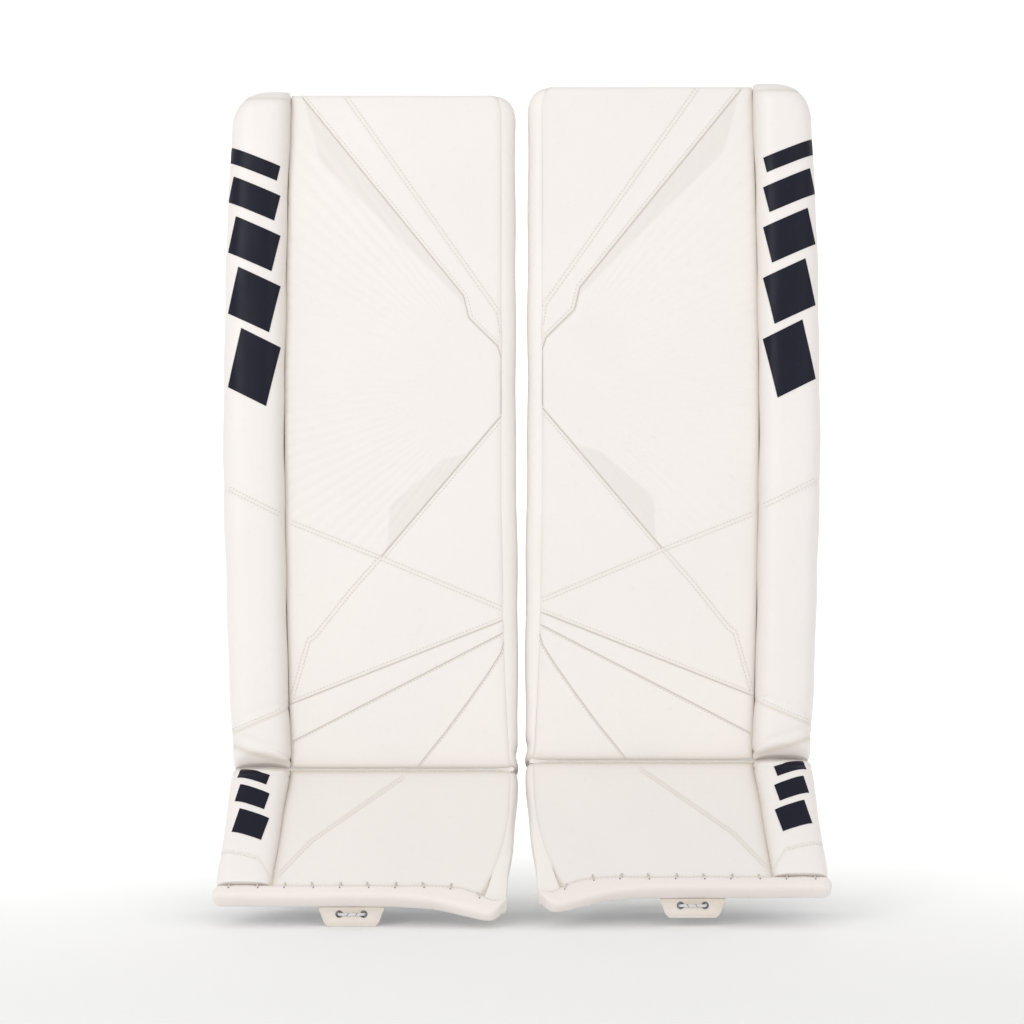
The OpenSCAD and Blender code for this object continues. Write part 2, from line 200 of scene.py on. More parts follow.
def loft(rings, start="flat", end="flat"):
    """Quads between closed rings of equal size, with each end closed by one face, or by a point."""
    m, n, _ = rings.shape
    verts = rings.reshape(-1, 3)
    i = np.arange(m - 1)[:, None] * n
    j = np.arange(n)[None, :]
    k = (j + 1) % n
    quads = np.stack([i + j, i + k, i + n + k, i + n + j], -1).reshape(-1, 4)
    faces = quads.tolist()
    extra = []
    for which, ring, first in ((start, rings[0], 0), (end, rings[-1], (m - 1) * n)):
        if which == "flat":
            faces.append(list(range(first, first + n)))
        elif which == "point":
            tip = len(verts) + len(extra)
            extra.append(ring.mean(0))
            faces += [[first + a, first + (a + 1) % n, tip] for a in range(n)]
    if extra:
        verts = np.vstack([verts, extra])
    return verts, faces


def superellipse(n, power):
    """Unit ring in two coordinates."""
    a = np.linspace(0, 2 * np.pi, n, endpoint=False)
    c, s = np.cos(a), np.sin(a)
    return np.sign(c) * np.abs(c) ** (2 / power), np.sign(s) * np.abs(s) ** (2 / power)


def round_ends(t, length, radius):
    """Size factor along a loft whose ends close in a quarter circle."""
    d = np.minimum(t, length - t)
    q = np.clip(1 - d / radius, 0, 1)
    return np.sqrt(np.maximum(1 - q * q, 1e-4))


def end_stations(length, step, radius):
    """Stations along a length, closer together in the two rounded ends."""
    cap = radius * (1 - np.cos(np.linspace(0, np.pi / 2, 7)))
    mid = np.linspace(radius, length - radius, max(2, int((length - 2 * radius) / step)))
    return np.concatenate([cap[:-1], mid, (length - cap[::-1])[1:]])


def tube(path, radius, sides=8, closed=False):
    """Round cord along points, or round a closed loop of them."""
    p = np.asarray(path, float)
    ahead = np.roll(p, -1, 0) - p if closed else np.gradient(p, axis=0)
    behind = p - np.roll(p, 1, 0) if closed else ahead
    t = ahead + behind
    t /= np.linalg.norm(t, axis=1)[:, None]
    up = np.array([0.0, 0.0, 1.0]) if abs(t[0][2]) < 0.9 else np.array([1.0, 0.0, 0.0])
    a = np.linspace(0, 2 * np.pi, sides, endpoint=False)[:, None]
    rings = []
    for point, tangent, r in zip(p, t, np.broadcast_to(radius, len(p))):
        side = np.cross(tangent, up)
        side /= np.linalg.norm(side)
        up = np.cross(side, tangent)
        rings.append(point + r * (np.cos(a) * side + np.sin(a) * up))
    if closed:
        return loft(np.array(rings + rings[:1]), "open", "open")
    return loft(np.array(rings), "point", "point")


def lathe(profile, centre, axis, sides=28):
    """Turns (radius, height) points about an axis through a point."""
    axis = np.array(axis, float) / np.linalg.norm(axis)
    u = np.cross(axis, [0.3, 0.5, 0.8])
    u /= np.linalg.norm(u)
    v = np.cross(axis, u)
    a = np.linspace(0, 2 * np.pi, sides, endpoint=False)[:, None]
    turn = np.cos(a) * u + np.sin(a) * v
    return loft(np.array([np.array(centre) + h * axis + r * turn for r, h in profile]))


def join(parts):
    """Several (verts, faces) as one."""
    verts, faces, n = [], [], 0
    for v, f in parts:
        verts.append(v)
        faces += [[i + n for i in face] for face in f]
        n += len(v)
    return np.vstack(verts), faces


def mesh_object(name, verts, faces, sharp=40):
    mesh = bpy.data.meshes.new(name)
    mesh.from_pydata(np.asarray(verts).tolist(), [], faces)
    bm = bmesh.new()
    bm.from_mesh(mesh)
    bmesh.ops.remove_doubles(bm, verts=bm.verts, dist=1e-6)
    bmesh.ops.recalc_face_normals(bm, faces=bm.faces)
    bm.to_mesh(mesh)
    bm.free()
    mesh.shade_smooth()
    mesh.set_sharp_from_angle(angle=math.radians(sharp))
    obj = bpy.data.objects.new(name, mesh)
    bpy.context.scene.collection.objects.link(obj)
    return obj


def add(name, shape, material, body, solid=False, painted_shade=None, sharp=40, bend=None):
    """Makes the piece on both pads. body is a body's name without its side, and solid says that the piece
    hides the CAD solid of its own name. The optional function of the points gives each point the painted-shade
    masks that its material reads.
    bend, when given, leaves the piece baked in place instead of attached to a body; the start and end it holds
    are not used."""
    verts, faces = shape
    for side in ("right", "left"):
        obj = mesh_object(f"{side}_{name}{'_skin' if solid else ''}", place(verts, side), faces, sharp)
        obj.data.materials.append(material)
        if painted_shade is not None:
            x0, y0, _ = FLEX[side]
            local = np.array([v.co for v in obj.data.vertices]) - [x0, y0, LOW_Z[side]]
            for key, values in painted_shade(local * 1000 * [MIRROR[side], 1, 1]).items():
                layer = obj.data.attributes.new(key, "FLOAT", "POINT")
                layer.data.foreach_set("value", np.asarray(values, np.float32))
        if bend:
            start, end = (tuple(place(p, side)) for p in bend)
            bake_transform(obj)
        else:
            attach(obj, f"{side}_{body}")
        if solid:
            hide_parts(f"{side}_{name}")


# ---------- materials ----------

class Surface:
    """A node material with one Principled shader. Constant sockets are set on the shader itself."""

    def __init__(self, name, **sockets):
        self.material = bpy.data.materials.new(name)
        self.material.use_nodes = True
        self.tree = self.material.node_tree
        self.tree.nodes.clear()
        self.shader = self.node("ShaderNodeBsdfPrincipled", **sockets)
        out = self.node("ShaderNodeOutputMaterial")
        self.tree.links.new(self.shader.outputs[0], out.inputs["Surface"])
        self.place = self.node("ShaderNodeTexCoord").outputs["Object"]

    def node(self, kind, props=None, **inputs):
        made = self.tree.nodes.new(kind)
        for key, value in (props or {}).items():
            setattr(made, key, value)
        for key, value in inputs.items():
            socket = made.inputs[key.replace("_", " ")] if isinstance(key, str) else made.inputs[key]
            self.feed(socket, value)
        return made

    def feed(self, socket, value):
        if isinstance(value, bpy.types.NodeSocket):
            self.tree.links.new(value, socket)
        else:
            socket.default_value = value

    def scaled(self, x, y, z):
        """Object coordinates times a factor for each axis."""
        return self.node("ShaderNodeMapping", Vector=self.place, Scale=(x, y, z)).outputs[0]

    def noise(self, scale, detail=3.0, vector=None):
        made = self.node("ShaderNodeTexNoise", Vector=vector or self.place, Scale=scale, Detail=detail)
        return made.outputs["Fac"]

    def cells(self, scale, feature="F1", vector=None):
        made = self.node("ShaderNodeTexVoronoi", {"feature": feature}, Vector=vector or self.place,
                         Scale=scale)
        return made.outputs["Distance"]

    def bands(self, scale, direction, vector=None):
        made = self.node("ShaderNodeTexWave", {"bands_direction": direction}, Vector=vector or self.place,
                         Scale=scale, Distortion=0.4)
        return made.outputs["Fac"]

    def attribute(self, name):
        return self.node("ShaderNodeAttribute", {"attribute_name": name}).outputs["Fac"]

    def remap(self, value, low, high, a=0.0, b=1.0):
        made = self.node("ShaderNodeMapRange", Value=value)
        for socket, number in zip(made.inputs[1:5], (a, b, low, high)):
            socket.default_value = number
        return made.outputs[0]

    def math(self, operation, a, b):
        made = self.node("ShaderNodeMath", {"operation": operation})
        self.feed(made.inputs[0], a)
        self.feed(made.inputs[1], b)
        return made.outputs[0]

    def mix(self, factor, a, b):
        made = self.node("ShaderNodeMix", {"data_type": "RGBA"})
        for socket, value in ((made.inputs[0], factor), (made.inputs[6], a), (made.inputs[7], b)):
            self.feed(socket, value)
        return made.outputs[2]

    def finish(self, colour, roughness, *layers):
        """Wires colour, roughness and bumps laid one over the other: (height, depth in metres, strength)."""
        self.feed(self.shader.inputs["Base Color"], colour)
        self.feed(self.shader.inputs["Roughness"], roughness)
        normal = None
        for height, distance, strength in layers:
            made = self.node("ShaderNodeBump", Height=height, Distance=distance, Strength=strength)
            if normal is not None:
                self.tree.links.new(normal, made.inputs["Normal"])
            normal = made.outputs[0]
        self.tree.links.new(normal, self.shader.inputs["Normal"])
        return self.material


def rgba(r, g, b):
    """Linear colour from 0-255 display values."""
    return tuple(((c / 255 + 0.055) / 1.055) ** 2.4 for c in (r, g, b)) + (1.0,)


# Painted shade: the cream colour that the crease masks blend in along seams and folds.
CREASE_SHADE_CREAM = rgba(214, 205, 192)
SCUFF_GREY = rgba(214, 210, 203)


def coated_skin(name, colour, shade, roughness=0.46, grain=1500.0, facet=None):
    """Coated synthetic leather: faint mottling, fine pebble, painted cream shade along each crease and seam,
    and painted shade on angled panels when asked for.
    """
    s = Surface(name, Specular_IOR_Level=0.42)
    tone = s.mix(s.remap(s.noise(7.0, 4.0), 0.0, 1.0, 0.35, 0.65), colour, shade)
    # Painted shade: the facet mask darkens panels of the face that turn from the light.
    if facet:
        tone = s.mix(s.attribute("facet"), tone, facet)
    # Painted shade: cream blended in along seams and folds, where shade falls.
    tone = s.mix(s.attribute("crease"), tone, CREASE_SHADE_CREAM)
    tone = s.mix(s.remap(s.noise(160.0, 6.0), 0.0, 0.14, 0.6, 0.8), tone, SCUFF_GREY)
    rough = s.remap(s.noise(60.0, 5.0), roughness - 0.06, roughness + 0.07, 0.3, 0.7)
    return s.finish(tone, rough, (s.noise(45.0, 3.0), 0.0006, 0.25), (s.cells(grain), 0.00012, 0.35),
                    (s.noise(grain * 1.7, 2.0), 0.00006, 0.3))


def woven(name, colour, dark, pitch=0.0016, across="Z", roughness=0.82, depth=1.0):
    """Narrow webbing: ribs one way, threads the other, and a little sheen."""
    s = Surface(name, Sheen_Weight=0.25, Specular_IOR_Level=0.25)
    ribs = s.bands(0.5 / pitch, across)
    threads = s.bands(0.9 / pitch, "X" if across != "X" else "Z")
    weave = s.math("MULTIPLY", ribs, threads)
    toned = s.mix(s.remap(weave, 0.0, 0.7), dark, colour)
    return s.finish(s.mix(s.remap(s.noise(30.0, 4.0), 0.0, 0.4, 0.5, 0.8), toned, dark),
                    s.remap(weave, roughness, roughness - 0.12), (ribs, 0.0005 * depth, 0.6),
                    (threads, 0.0003 * depth, 0.5), (s.noise(2500.0, 2.0), 0.0001 * depth, 0.4))


def knit(name, colour, dark, cell=420.0):
    """Open knitted lining: rows of small round holes."""
    s = Surface(name, Sheen_Weight=0.35, Sheen_Roughness=0.5, Specular_IOR_Level=0.2)
    holes = s.cells(cell, "F1", s.scaled(1.0, 1.0, 1.35))
    toned = s.mix(s.remap(holes, 1.0, 0.0, 0.15, 0.5), colour, dark)
    return s.finish(s.mix(s.remap(s.noise(18.0, 4.0), 0.0, 0.35, 0.45, 0.75), toned, dark),
                    s.remap(holes, 0.75, 0.95), (holes, 0.0006, 0.7), (s.noise(1600.0, 3.0), 0.0002, 0.4))


def ballistic(name, colour, dark, pitch=0.0011):
    """Plain-weave nylon backing with a faint coating."""
    s = Surface(name, Specular_IOR_Level=0.35)
    up, over = s.bands(0.5 / pitch, "Z"), s.bands(0.5 / pitch, "X")
    toned = s.mix(s.remap(s.math("ADD", up, over), 0.0, 1.0, 0.3, 1.6), dark, colour)
    return s.finish(s.mix(s.remap(s.noise(25.0, 5.0), 0.0, 0.5, 0.5, 0.85), toned, dark),
                    s.remap(s.noise(70.0, 4.0), 0.5, 0.72), (up, 0.0003, 0.5), (over, 0.0003, 0.5),
                    (s.noise(900.0, 3.0), 0.0001, 0.3))


def foam_or_plastic(name, colour, dark, cell, roughness, depth):
    """A moulded surface with pores of one size."""
    s = Surface(name, Specular_IOR_Level=0.3)
    pores = s.cells(cell)
    return s.finish(s.mix(s.remap(pores, 0.0, 1.0, 0.2, 0.8), dark, colour),
                    s.remap(s.noise(90.0, 4.0), roughness - 0.08, roughness + 0.08),
                    (pores, depth, 0.5), (s.noise(cell * 2, 2.0), depth / 3, 0.3))


def print_film(name, colour, light):
    """Heat-pressed film: it follows the grain below and catches light on its scuffs."""
    s = Surface(name, Specular_IOR_Level=0.22)
    worn = s.remap(s.noise(240.0, 8.0), 0.0, 0.55, 0.62, 0.8)
    return s.finish(s.mix(worn, colour, light), s.remap(s.noise(80.0, 5.0), 0.32, 0.5),
                    (s.noise(45.0, 3.0), 0.0004, 0.2), (s.cells(1500.0), 0.00008, 0.25))


def dark_metal(name, colour, bright):
    """Black-nickel plating, rubbed brighter in fine scratches."""
    s = Surface(name, Metallic=0.9, Specular_IOR_Level=0.6)
    scratches = s.noise(400.0, 6.0, s.scaled(1.0, 1.0, 9.0))
    return s.finish(s.mix(s.remap(scratches, 0.0, 0.8, 0.5, 0.75), colour, bright),
                    s.remap(scratches, 0.25, 0.42), (scratches, 0.00008, 0.3))


# The face's third colour is painted shade for its angled panels and for the boot's face.
FACE = coated_skin("face_skin", rgba(243, 237, 233), rgba(240, 235, 231), 0.44, facet=rgba(229, 222, 218))
ROLL = coated_skin("roll_skin", rgba(243, 237, 234), rgba(240, 235, 231), 0.42)
WALL = coated_skin("wall_skin", rgba(243, 238, 233), rgba(240, 235, 230), 0.48)
WING = coated_skin("wing_skin", rgba(237, 234, 230), rgba(234, 231, 226), 0.5, 1100.0)
BINDING = coated_skin("binding_skin", rgba(241, 234, 230), rgba(238, 231, 226), 0.5, 900.0)
TAB = coated_skin("tab_leather", rgba(236, 228, 221), rgba(232, 222, 213), 0.55, 800.0)
WEBBING = woven("webbing", rgba(241, 240, 237), rgba(222, 220, 216))
FLECKED = woven("flecked_elastic", rgba(250, 250, 250), rgba(226, 225, 227), 0.0007, "X", depth=0.3)
LINING = knit("lining", rgba(148, 151, 158), rgba(112, 115, 122), 640.0)
BACKING = ballistic("backing", rgba(178, 180, 184), rgba(120, 122, 128))
HOOKS = knit("hook_tape", rgba(70, 72, 78), rgba(30, 31, 35), 900.0)
THREAD = woven("white_thread", rgba(236, 230, 223), rgba(216, 209, 200), 0.0006, depth=0.15)
DARK_THREAD = woven("dark_thread", rgba(150, 146, 142), rgba(106, 103, 100), 0.0006, depth=0.15)
# Painted shadow: a darker cord colour that draws the shadow line of the face's panel edges.
EDGE_SHADOW_CORD = woven("edge_shadow_cord", rgba(224, 217, 211), rgba(204, 197, 190), 0.0006, depth=0.15)
FILM = print_film("emblem_film", rgba(18, 19, 36), rgba(34, 35, 54))
PLASTIC = foam_or_plastic("trim_plastic", rgba(52, 53, 58), rgba(34, 35, 39), 700.0, 0.42, 0.00008)
FOAM = foam_or_plastic("foam", rgba(232, 226, 210), rgba(205, 198, 180), 900.0, 0.9, 0.0004)
SHEET = foam_or_plastic("stiffener", rgba(222, 222, 222), rgba(205, 205, 205), 300.0, 0.5, 0.00006)
EYELET = dark_metal("eyelet_metal", rgba(112, 112, 116), rgba(186, 186, 190))


# ---------- lines sewn into the shin's face, in (x, z) ----------

PANEL_EDGE = [(-64.5, 779), (90, 589), (95, 568), (122.5, 541), (126, 530), (125.5, 476)]
UPPER_SEAM = [(-22.5, 779.5), (123.5, 573), (126.5, 553)]
CENTRE_SEAM = [(125.5, 474), (11, 339.5)]
LOWER_SEAM = [(11, 339.5), (-18.5, 306), (-52, 264), (-58, 260), (-64, 239), (-75, 201)]
CROSS_SEAM = [(-82, 376), (-76, 373), (11, 338.5), (127.5, 290)]
ROLL_CROSS = [(-139, 405.5), (-84.5, 380.5), (-78, 377)]
SHIN_BAND = [(128.4, 279.3), (-76, 198.6)]
ROLL_BAND = [(-76, 198.6), (-80.7, 193.4), (-134, 170.5)]
LOW_SEAM = [(129.4, 268), (-74, 163)]
ANKLE_CURVE = [(130, 264), (125.6, 248), (113, 228), (96, 204), (74, 174), (45.4, 138.5)]
THIN_CORD = 0.42
# Lines that get darker cords as painted shadow lines of the panel edges, with each cord's radius.
EDGE_SHADOW_CORDS = [(PANEL_EDGE, 0.55), (CENTRE_SEAM, 0.55), (SHIN_BAND, 0.5), (LOW_SEAM, THIN_CORD),
              (ANKLE_CURVE, THIN_CORD)]
PAIRED = (-1.8, 1.8)
THREAD_ROWS = [(PANEL_EDGE, (3.4,)), (UPPER_SEAM, PAIRED), (CENTRE_SEAM, (3.4,)), (LOWER_SEAM, PAIRED),
               (CROSS_SEAM[1:], PAIRED), (SHIN_BAND, (-3.4,)), (LOW_SEAM, (1.6,)), (ANKLE_CURVE, (1.6,))]
FAN_CENTRE = (124.6, 503.8)
FAN_STEP = math.radians(3)
UPPER_FACET = [(-64.5, 779), (-50, 723), (-42.5, 711), (2.5, 668), (88, 582), (93, 577), (90, 589)]
LOWER_FACET = [(125.5, 474), (93, 440), (70, 434), (22.5, 393), (18.5, 388), (16, 349), (11, 339.5)]


def along(line, x, z):
    """Distance from a line of points, and on which side of it (+1 is to its right)."""
    best = np.full(np.shape(x), 1e9)
    side = np.ones(np.shape(x))
    for (x0, z0), (x1, z1) in zip(line, line[1:]):
        dx, dz = x1 - x0, z1 - z0
        t = np.clip(((x - x0) * dx + (z - z0) * dz) / (dx * dx + dz * dz), 0, 1)
        d = np.hypot(x - x0 - t * dx, z - z0 - t * dz)
        nearer = d < best
        cross = dx * (z - z0) - dz * (x - x0)
        side = np.where(nearer, np.where(cross < 0, 1.0, -1.0), side)
        best = np.where(nearer, d, best)
    return best, side


def inside(polygon, x, z):
    """Even-odd test for arrays of points."""
    hit = np.zeros(np.shape(x), bool)
    for (x0, z0), (x1, z1) in zip(polygon, polygon[1:] + polygon[:1]):
        crosses = (z0 > z) != (z1 > z)
        with np.errstate(divide="ignore", invalid="ignore"):
            at = x0 + (z - z0) * (x1 - x0) / (z1 - z0 if z1 != z0 else 1e-9)
        hit ^= crosses & (x < at)
    return hit


def groove(d, depth, width, pillow=0.0, reach=7.0):
    """A sewn line: a narrow dip with the padding falling towards it."""
    return -depth * bump(d, width) - pillow * np.exp(-d / reach)


def double(d, depth=0.35, width=0.8, half=1.8):
    """Two lines of stitching side by side."""
    return -depth * bump(d - half, width)


def raised(d, side, height, soft=1.1):
    """The edge of a panel laid over its neighbour."""
    return height * smooth(-soft, soft, d * side) * np.exp(-np.maximum(d * side, 0) / 45)


def shin_relief(x, z):
    """How far the face stands out at each point, in millimetres."""
    d_edge, edge_side = along(PANEL_EDGE, x, z)
    d_centre, centre_side = along(CENTRE_SEAM, x, z)
    d_band, band_side = along(SHIN_BAND, x, z)
    h = groove(d_edge, 0.6, 0.85, 0.3) + raised(d_edge, -edge_side, 0.8)
    h += groove(d_centre, 0.55, 0.85, 0.3) + raised(d_centre, centre_side, 0.45)
    h += groove(d_band, 0.5, 0.85, 0.25) + raised(d_band, -band_side, 0.5)
    for line, depth in ((UPPER_SEAM, 0.22), (LOWER_SEAM, 0.22), (CROSS_SEAM, 0.25)):
        h += double(along(line, x, z)[0], depth)
    for line in (LOW_SEAM, ANKLE_CURVE):
        h += groove(along(line, x, z)[0], 0.3, 0.8, 0.15)
    for d in (d_edge, d_centre, d_band):
        h += -0.16 * bump(d - 3.4, 0.8)
    fx, fz = x - FAN_CENTRE[0], z - FAN_CENTRE[1]
    ray = np.cos(2 * np.pi * np.arctan2(fz, fx) / FAN_STEP)
    fan = (edge_side > 0) & (z > np.interp(x, [-90, 11, 125.5], [380, 340, 474]))
    h += 0.24 * ray * fan * smooth(25, 70, np.hypot(fx, fz)) * smooth(4, 12, d_edge) * smooth(4, 12, d_centre)
    return h + 0.45 * np.sin(x / 47 + 1.3) * np.sin(z / 83 + 0.4) + 0.25 * np.sin(x / 21 + z / 39)


def rolled(d):
    """How far back an edge turns within its last 5 mm."""
    q = np.clip(1 - d / 5.0, 0, 1)
    return 5.0 * (1 - np.sqrt(1 - q * q * 0.98))


def shin_border(x, z):
    """Rounds the face into its seams, the crease and the top edge; positive goes back."""
    back = 1.6 * fade(x - roll_seam(z), 3.0) + 1.3 * fade(inner_seam(z) - x, 2.2)
    return np.minimum(back, 1.7) + rolled(z - BREAK_Z) + rolled(TOP_Z - 0.8 - z)


def shin_front(x, z):
    return shin_border(x, z) - shin_relief(x, z)


def shin_painted_shade(v):
    """Painted cream shade in the seams, the crease and along the sewn lines, and painted shade on the face's
    two darker angled panels.
    """
    x, z = v[:, 0], v[:, 2]
    crease_shades = [0.9 * fade(x - roll_seam(z), 2.5), 0.7 * fade(inner_seam(z) - x, 2.0)]
    crease_shades.append(0.8 * fade(z - BREAK_Z, 5.0))
    for line, radius in EDGE_SHADOW_CORDS:
        crease_shades.append(0.5 * bump(along(line, x, z)[0], 1.2 if radius > THIN_CORD else 0.825))
    for line in (UPPER_SEAM, LOWER_SEAM, CROSS_SEAM):
        crease_shades.append(0.25 * bump(along(line, x, z)[0] - 1.8, 0.9))
    facet = np.zeros(len(v))
    for shape in (UPPER_FACET, LOWER_FACET):
        rim, _ = along(shape + shape[:1], x, z)
        facet += 0.55 * inside(shape, x, z) * smooth(0, 2.5, rim)
    return masks(*crease_shades, facet=facet)


def panel(stations, span, front, back, columns, back_columns, to_pad):
    """A closed thin body: at each station its front from edge to edge, and its back returning."""
    x0, x1 = (edge[:, None] for edge in span(stations))
    s = stations[:, None]
    xf = x0 + (x1 - x0) * np.linspace(0, 1, columns)
    xb = x0 + (x1 - x0) * np.linspace(1, 0, back_columns)
    return loft(to_pad(np.concatenate([xyz(xf, front(xf, s), s), xyz(xb, back(xb, s), s)], 1)))


def resampled(line):
    """The distance along a line of points to each of them, and the points as an array."""
    p = np.array(line, float)
    return np.concatenate([[0], np.cumsum(np.linalg.norm(np.diff(p, axis=0), axis=1))]), p


def stitch_row(line, surface, pitch=3.4, length=2.4, radius=0.38, offset=0.0):
    """Thread stitches that lie on a surface along a line of (x, z), shifted sideways by offset.
    surface(x, z) gives points of the pad."""
    total, points = resampled(line)
    parts = []
    for start in np.arange(pitch / 2, total[-1] - length, pitch):
        t = np.linspace(start, start + length, 4)
        x, z = (np.interp(t, total, points[:, k]) for k in (0, 1))
        way = np.array([x[-1] - x[0], z[-1] - z[0]])
        way /= np.hypot(*way)
        p = surface(x - way[1] * offset, z + way[0] * offset)
        p[:, 1] -= radius * np.array([-0.6, 0.45, 0.45, -0.6])
        parts.append(tube(p, radius * np.array([0.6, 1, 1, 0.6]), 5))
    return parts


def on_shin(x, z):
    return xyz(x, shin_front(x, z), z)


def on_face(verts):
    """Whether a stitch stays between the roll and the inner wall."""
    x, z = verts[:, 0], verts[:, 2]
    return np.all(x < inner_seam(z) - 0.8) and np.all(x > roll_seam(z) + 0.8)


def build_face():
    low = BREAK_Z + 0.6 + 7 * (1 - np.cos(quarter(8)))
    high = TOP_Z - 0.8 - 5 * (1 - np.sin(quarter(8)))
    z = np.concatenate([low, np.arange(BREAK_Z + 9, TOP_Z - 6.5, 1.4), high])
    shape = panel(z, lambda s: (roll_seam(s), inner_seam(s)), shin_front,
                  lambda x, s: 2.0 + shin_border(x, s), 150, 24, lambda p: p)
    add("face_cover", shape, FACE, "shin", True, shin_painted_shade)
    threads = [part for line, offsets in THREAD_ROWS for offset in offsets
               for part in stitch_row(line, on_shin, offset=offset) if on_face(part[0])]
    add("face_stitching", join(threads), THREAD, "shin")
    # Thin darker cords along the panel edges: painted shadow lines.
    edges = []
    for line, radius in EDGE_SHADOW_CORDS:
        total, p = resampled(line)
        s = np.arange(0, total[-1], 1.5)
        x, z = np.interp(s, total, p[:, 0]), np.interp(s, total, p[:, 1])
        held = (x < inner_seam(z) - 0.6) & (x > roll_seam(z) + 0.6) & (z < TOP_Z - 3)
        edges.append(tube(on_shin(x[held], z[held]) - [0, 0.12, 0], radius, 7))
    add("panel_edge_shadows", join(edges), EDGE_SHADOW_CORD, "shin")


build_face()


# ---------- crease, rolls and walls ----------

FRONT_CLEAR = math.tan(math.radians(30))
BACK_CLEAR = math.tan(math.radians(15))


def cut(y):
    """Room left at the crease: the ends slope away from it in front, and reach past it behind."""
    return 1.0 + np.where(y < 0, -y * FRONT_CLEAR, -y * BACK_CLEAR)


def shin_from(p):
    """Rests a shape's lower end on the slanted crease."""
    gap = cut(p[..., 1])
    return xyz(p[..., 0], p[..., 1], BREAK_Z + gap + (p[..., 2] - BREAK_Z) * (1 - gap / SHIN_H))


def boot_from(p):
    """The same for the boot, from (x, depth, length down the face)."""
    gap = cut(p[..., 1])
    return boot_to_pad(xyz(p[..., 0], p[..., 1], gap + p[..., 2] * (1 - gap / BOOT_L)))


class Skin:
    """A finished surface that other pieces are laid on."""

    def __init__(self, shape):
        verts, faces = shape
        self.tree = BVHTree.FromPolygons([tuple(v) for v in verts], faces)

    def along(self, origins, direction, out=0.0):
        """Where lines from the origins first meet it, or else the nearest place, moved out by that many mm."""
        d = Vector(direction)
        found = []
        for o in np.asarray(origins, float).reshape(-1, 3):
            hit, normal, _, _ = self.tree.ray_cast(Vector(o), d)
            if hit is None:
                hit, normal, _, _ = self.tree.find_nearest(Vector(o))
            if normal.dot(d) > 0:
                normal = -normal
            found.append(hit + normal * out)
        return np.array(found).reshape(np.shape(origins))

    def near(self, points, out=0.0):
        """The nearest places on it, moved out by that many millimetres."""
        found = []
        for p in np.asarray(points, float):
            hit, normal, _, _ = self.tree.find_nearest(Vector(p))
            away = Vector(p) - hit
            if away.length > 1e-6 and normal.dot(away) < 0:
                normal = -normal
            found.append(hit + normal * out)
        return np.array(found)


def patch(corners, lay, counts=(14, 10), lift=0.45, sink=0.6):
    """A thin film between four corners (u, v), laid on a surface: lay(points, out) gives its points."""
    nu, nv = counts
    a, b, c, d = (np.array(p, float) for p in corners)
    u, v = np.meshgrid(np.linspace(0, 1, nu), np.linspace(0, 1, nv), indexing="ij")
    u, v = u[..., None], v[..., None]
    flat = ((a * (1 - u) + b * u) * (1 - v) + (d * (1 - u) + c * u) * v).reshape(-1, 2)
    n = nu * nv
    faces = []
    for i in range(nu - 1):
        for j in range(nv - 1):
            q = [i * nv + j, (i + 1) * nv + j, (i + 1) * nv + j + 1, i * nv + j + 1]
            faces += [q, [k + n for k in reversed(q)]]
    rim = [i * nv for i in range(nu)] + [(nu - 1) * nv + j for j in range(1, nv)]
    rim += [i * nv + nv - 1 for i in range(nu - 2, -1, -1)] + [j for j in range(nv - 2, 0, -1)]
    faces += [[p, q, q + n, p + n] for p, q in zip(rim, rim[1:] + rim[:1])]
    return np.vstack([lay(flat, lift), lay(flat, -sink)]), faces


ROLL_Y = 9.0
ROLL_TOP = 783.6
ROLL_FOLD = [(-139, 163), (-76, 143.7)]
ROLL_LINES_X = (-136, -80)
BAR_SLOPE = math.tan(math.radians(20))


def roll_outer(z):
    """Outer edge of the roll, with the rounded corner at its top."""
    edge = roll_edge(z)
    q = np.clip((z - 747) / (ROLL_TOP - 747), 0, 1)
    return -101.7 + (edge + 101.7) * np.sqrt(1 - 0.995 * q * q)


def wall_outer(z):
    """Outer edge of the wall behind the roll: it wraps the body's own tighter top corner."""
    q = np.clip((z - 759) / 19, 0, 1)
    return min(roll_outer(z) + 1.4, -132.0 + 17 * (1 - np.sqrt(1 - 0.99 * q * q)))


def roll_relief(x, z):
    x = np.clip(x, *ROLL_LINES_X)
    d_band, _ = along(ROLL_BAND, x, z)
    h = double(along(ROLL_CROSS, x, z)[0], 0.35, 0.9) + groove(d_band, 0.9, 1.1, 0.4)
    h += -0.3 * bump(d_band - 3.4, 0.8)
    h += -1.7 * bump(along(ROLL_FOLD, x, z)[0], 2.4) + 0.7 * bump(z - 778, 2.5)
    return h + 0.35 * np.sin(z / 34 + x / 30) + 0.3 * np.sin(z / 13.0 + 2 * np.sin(x / 19))


def roll_painted_shade(v):
    x, z = np.clip(v[:, 0], *ROLL_LINES_X), v[:, 2]
    # Painted cream shade along the roll's sewn lines, its fold, its seam and below its top edge.
    return masks(0.6 * bump(along(ROLL_BAND, x, z)[0], 1.5),
                 0.25 * bump(along(ROLL_CROSS, x, z)[0] - 1.8, 0.9),
                 0.7 * bump(along(ROLL_FOLD, x, z)[0], 2.6),
                 0.9 * fade(roll_seam(z) + 2 - v[:, 0], 3.5), 0.6 * bump(z - 775, 1.5))


def roll_shape(stations, outer, seam, front, back, relief, ends, n=110, power=2.9):
    """A stuffed roll: one ring at each station, in (x, depth, station)."""
    c, s = superellipse(n, power)
    rings = []
    for t, end in zip(stations, ends):
        x0, x1 = outer(t), seam(t)
        depth = np.where(s < 0, (ROLL_Y - front(t)) * end, (back(t) - ROLL_Y) * (0.85 + 0.15 * end))
        x = (x0 + x1) / 2 + (x1 - x0) / 2 * c * (0.8 + 0.2 * end)
        h = relief(x, t) * np.clip(-s * 2 + 0.6, 0, 1) * np.clip(end * 2 - 0.6, 0, 1)
        rings.append(xyz(x + h * c, ROLL_Y + depth * s + h * s, t))
    return loft(np.array(rings))


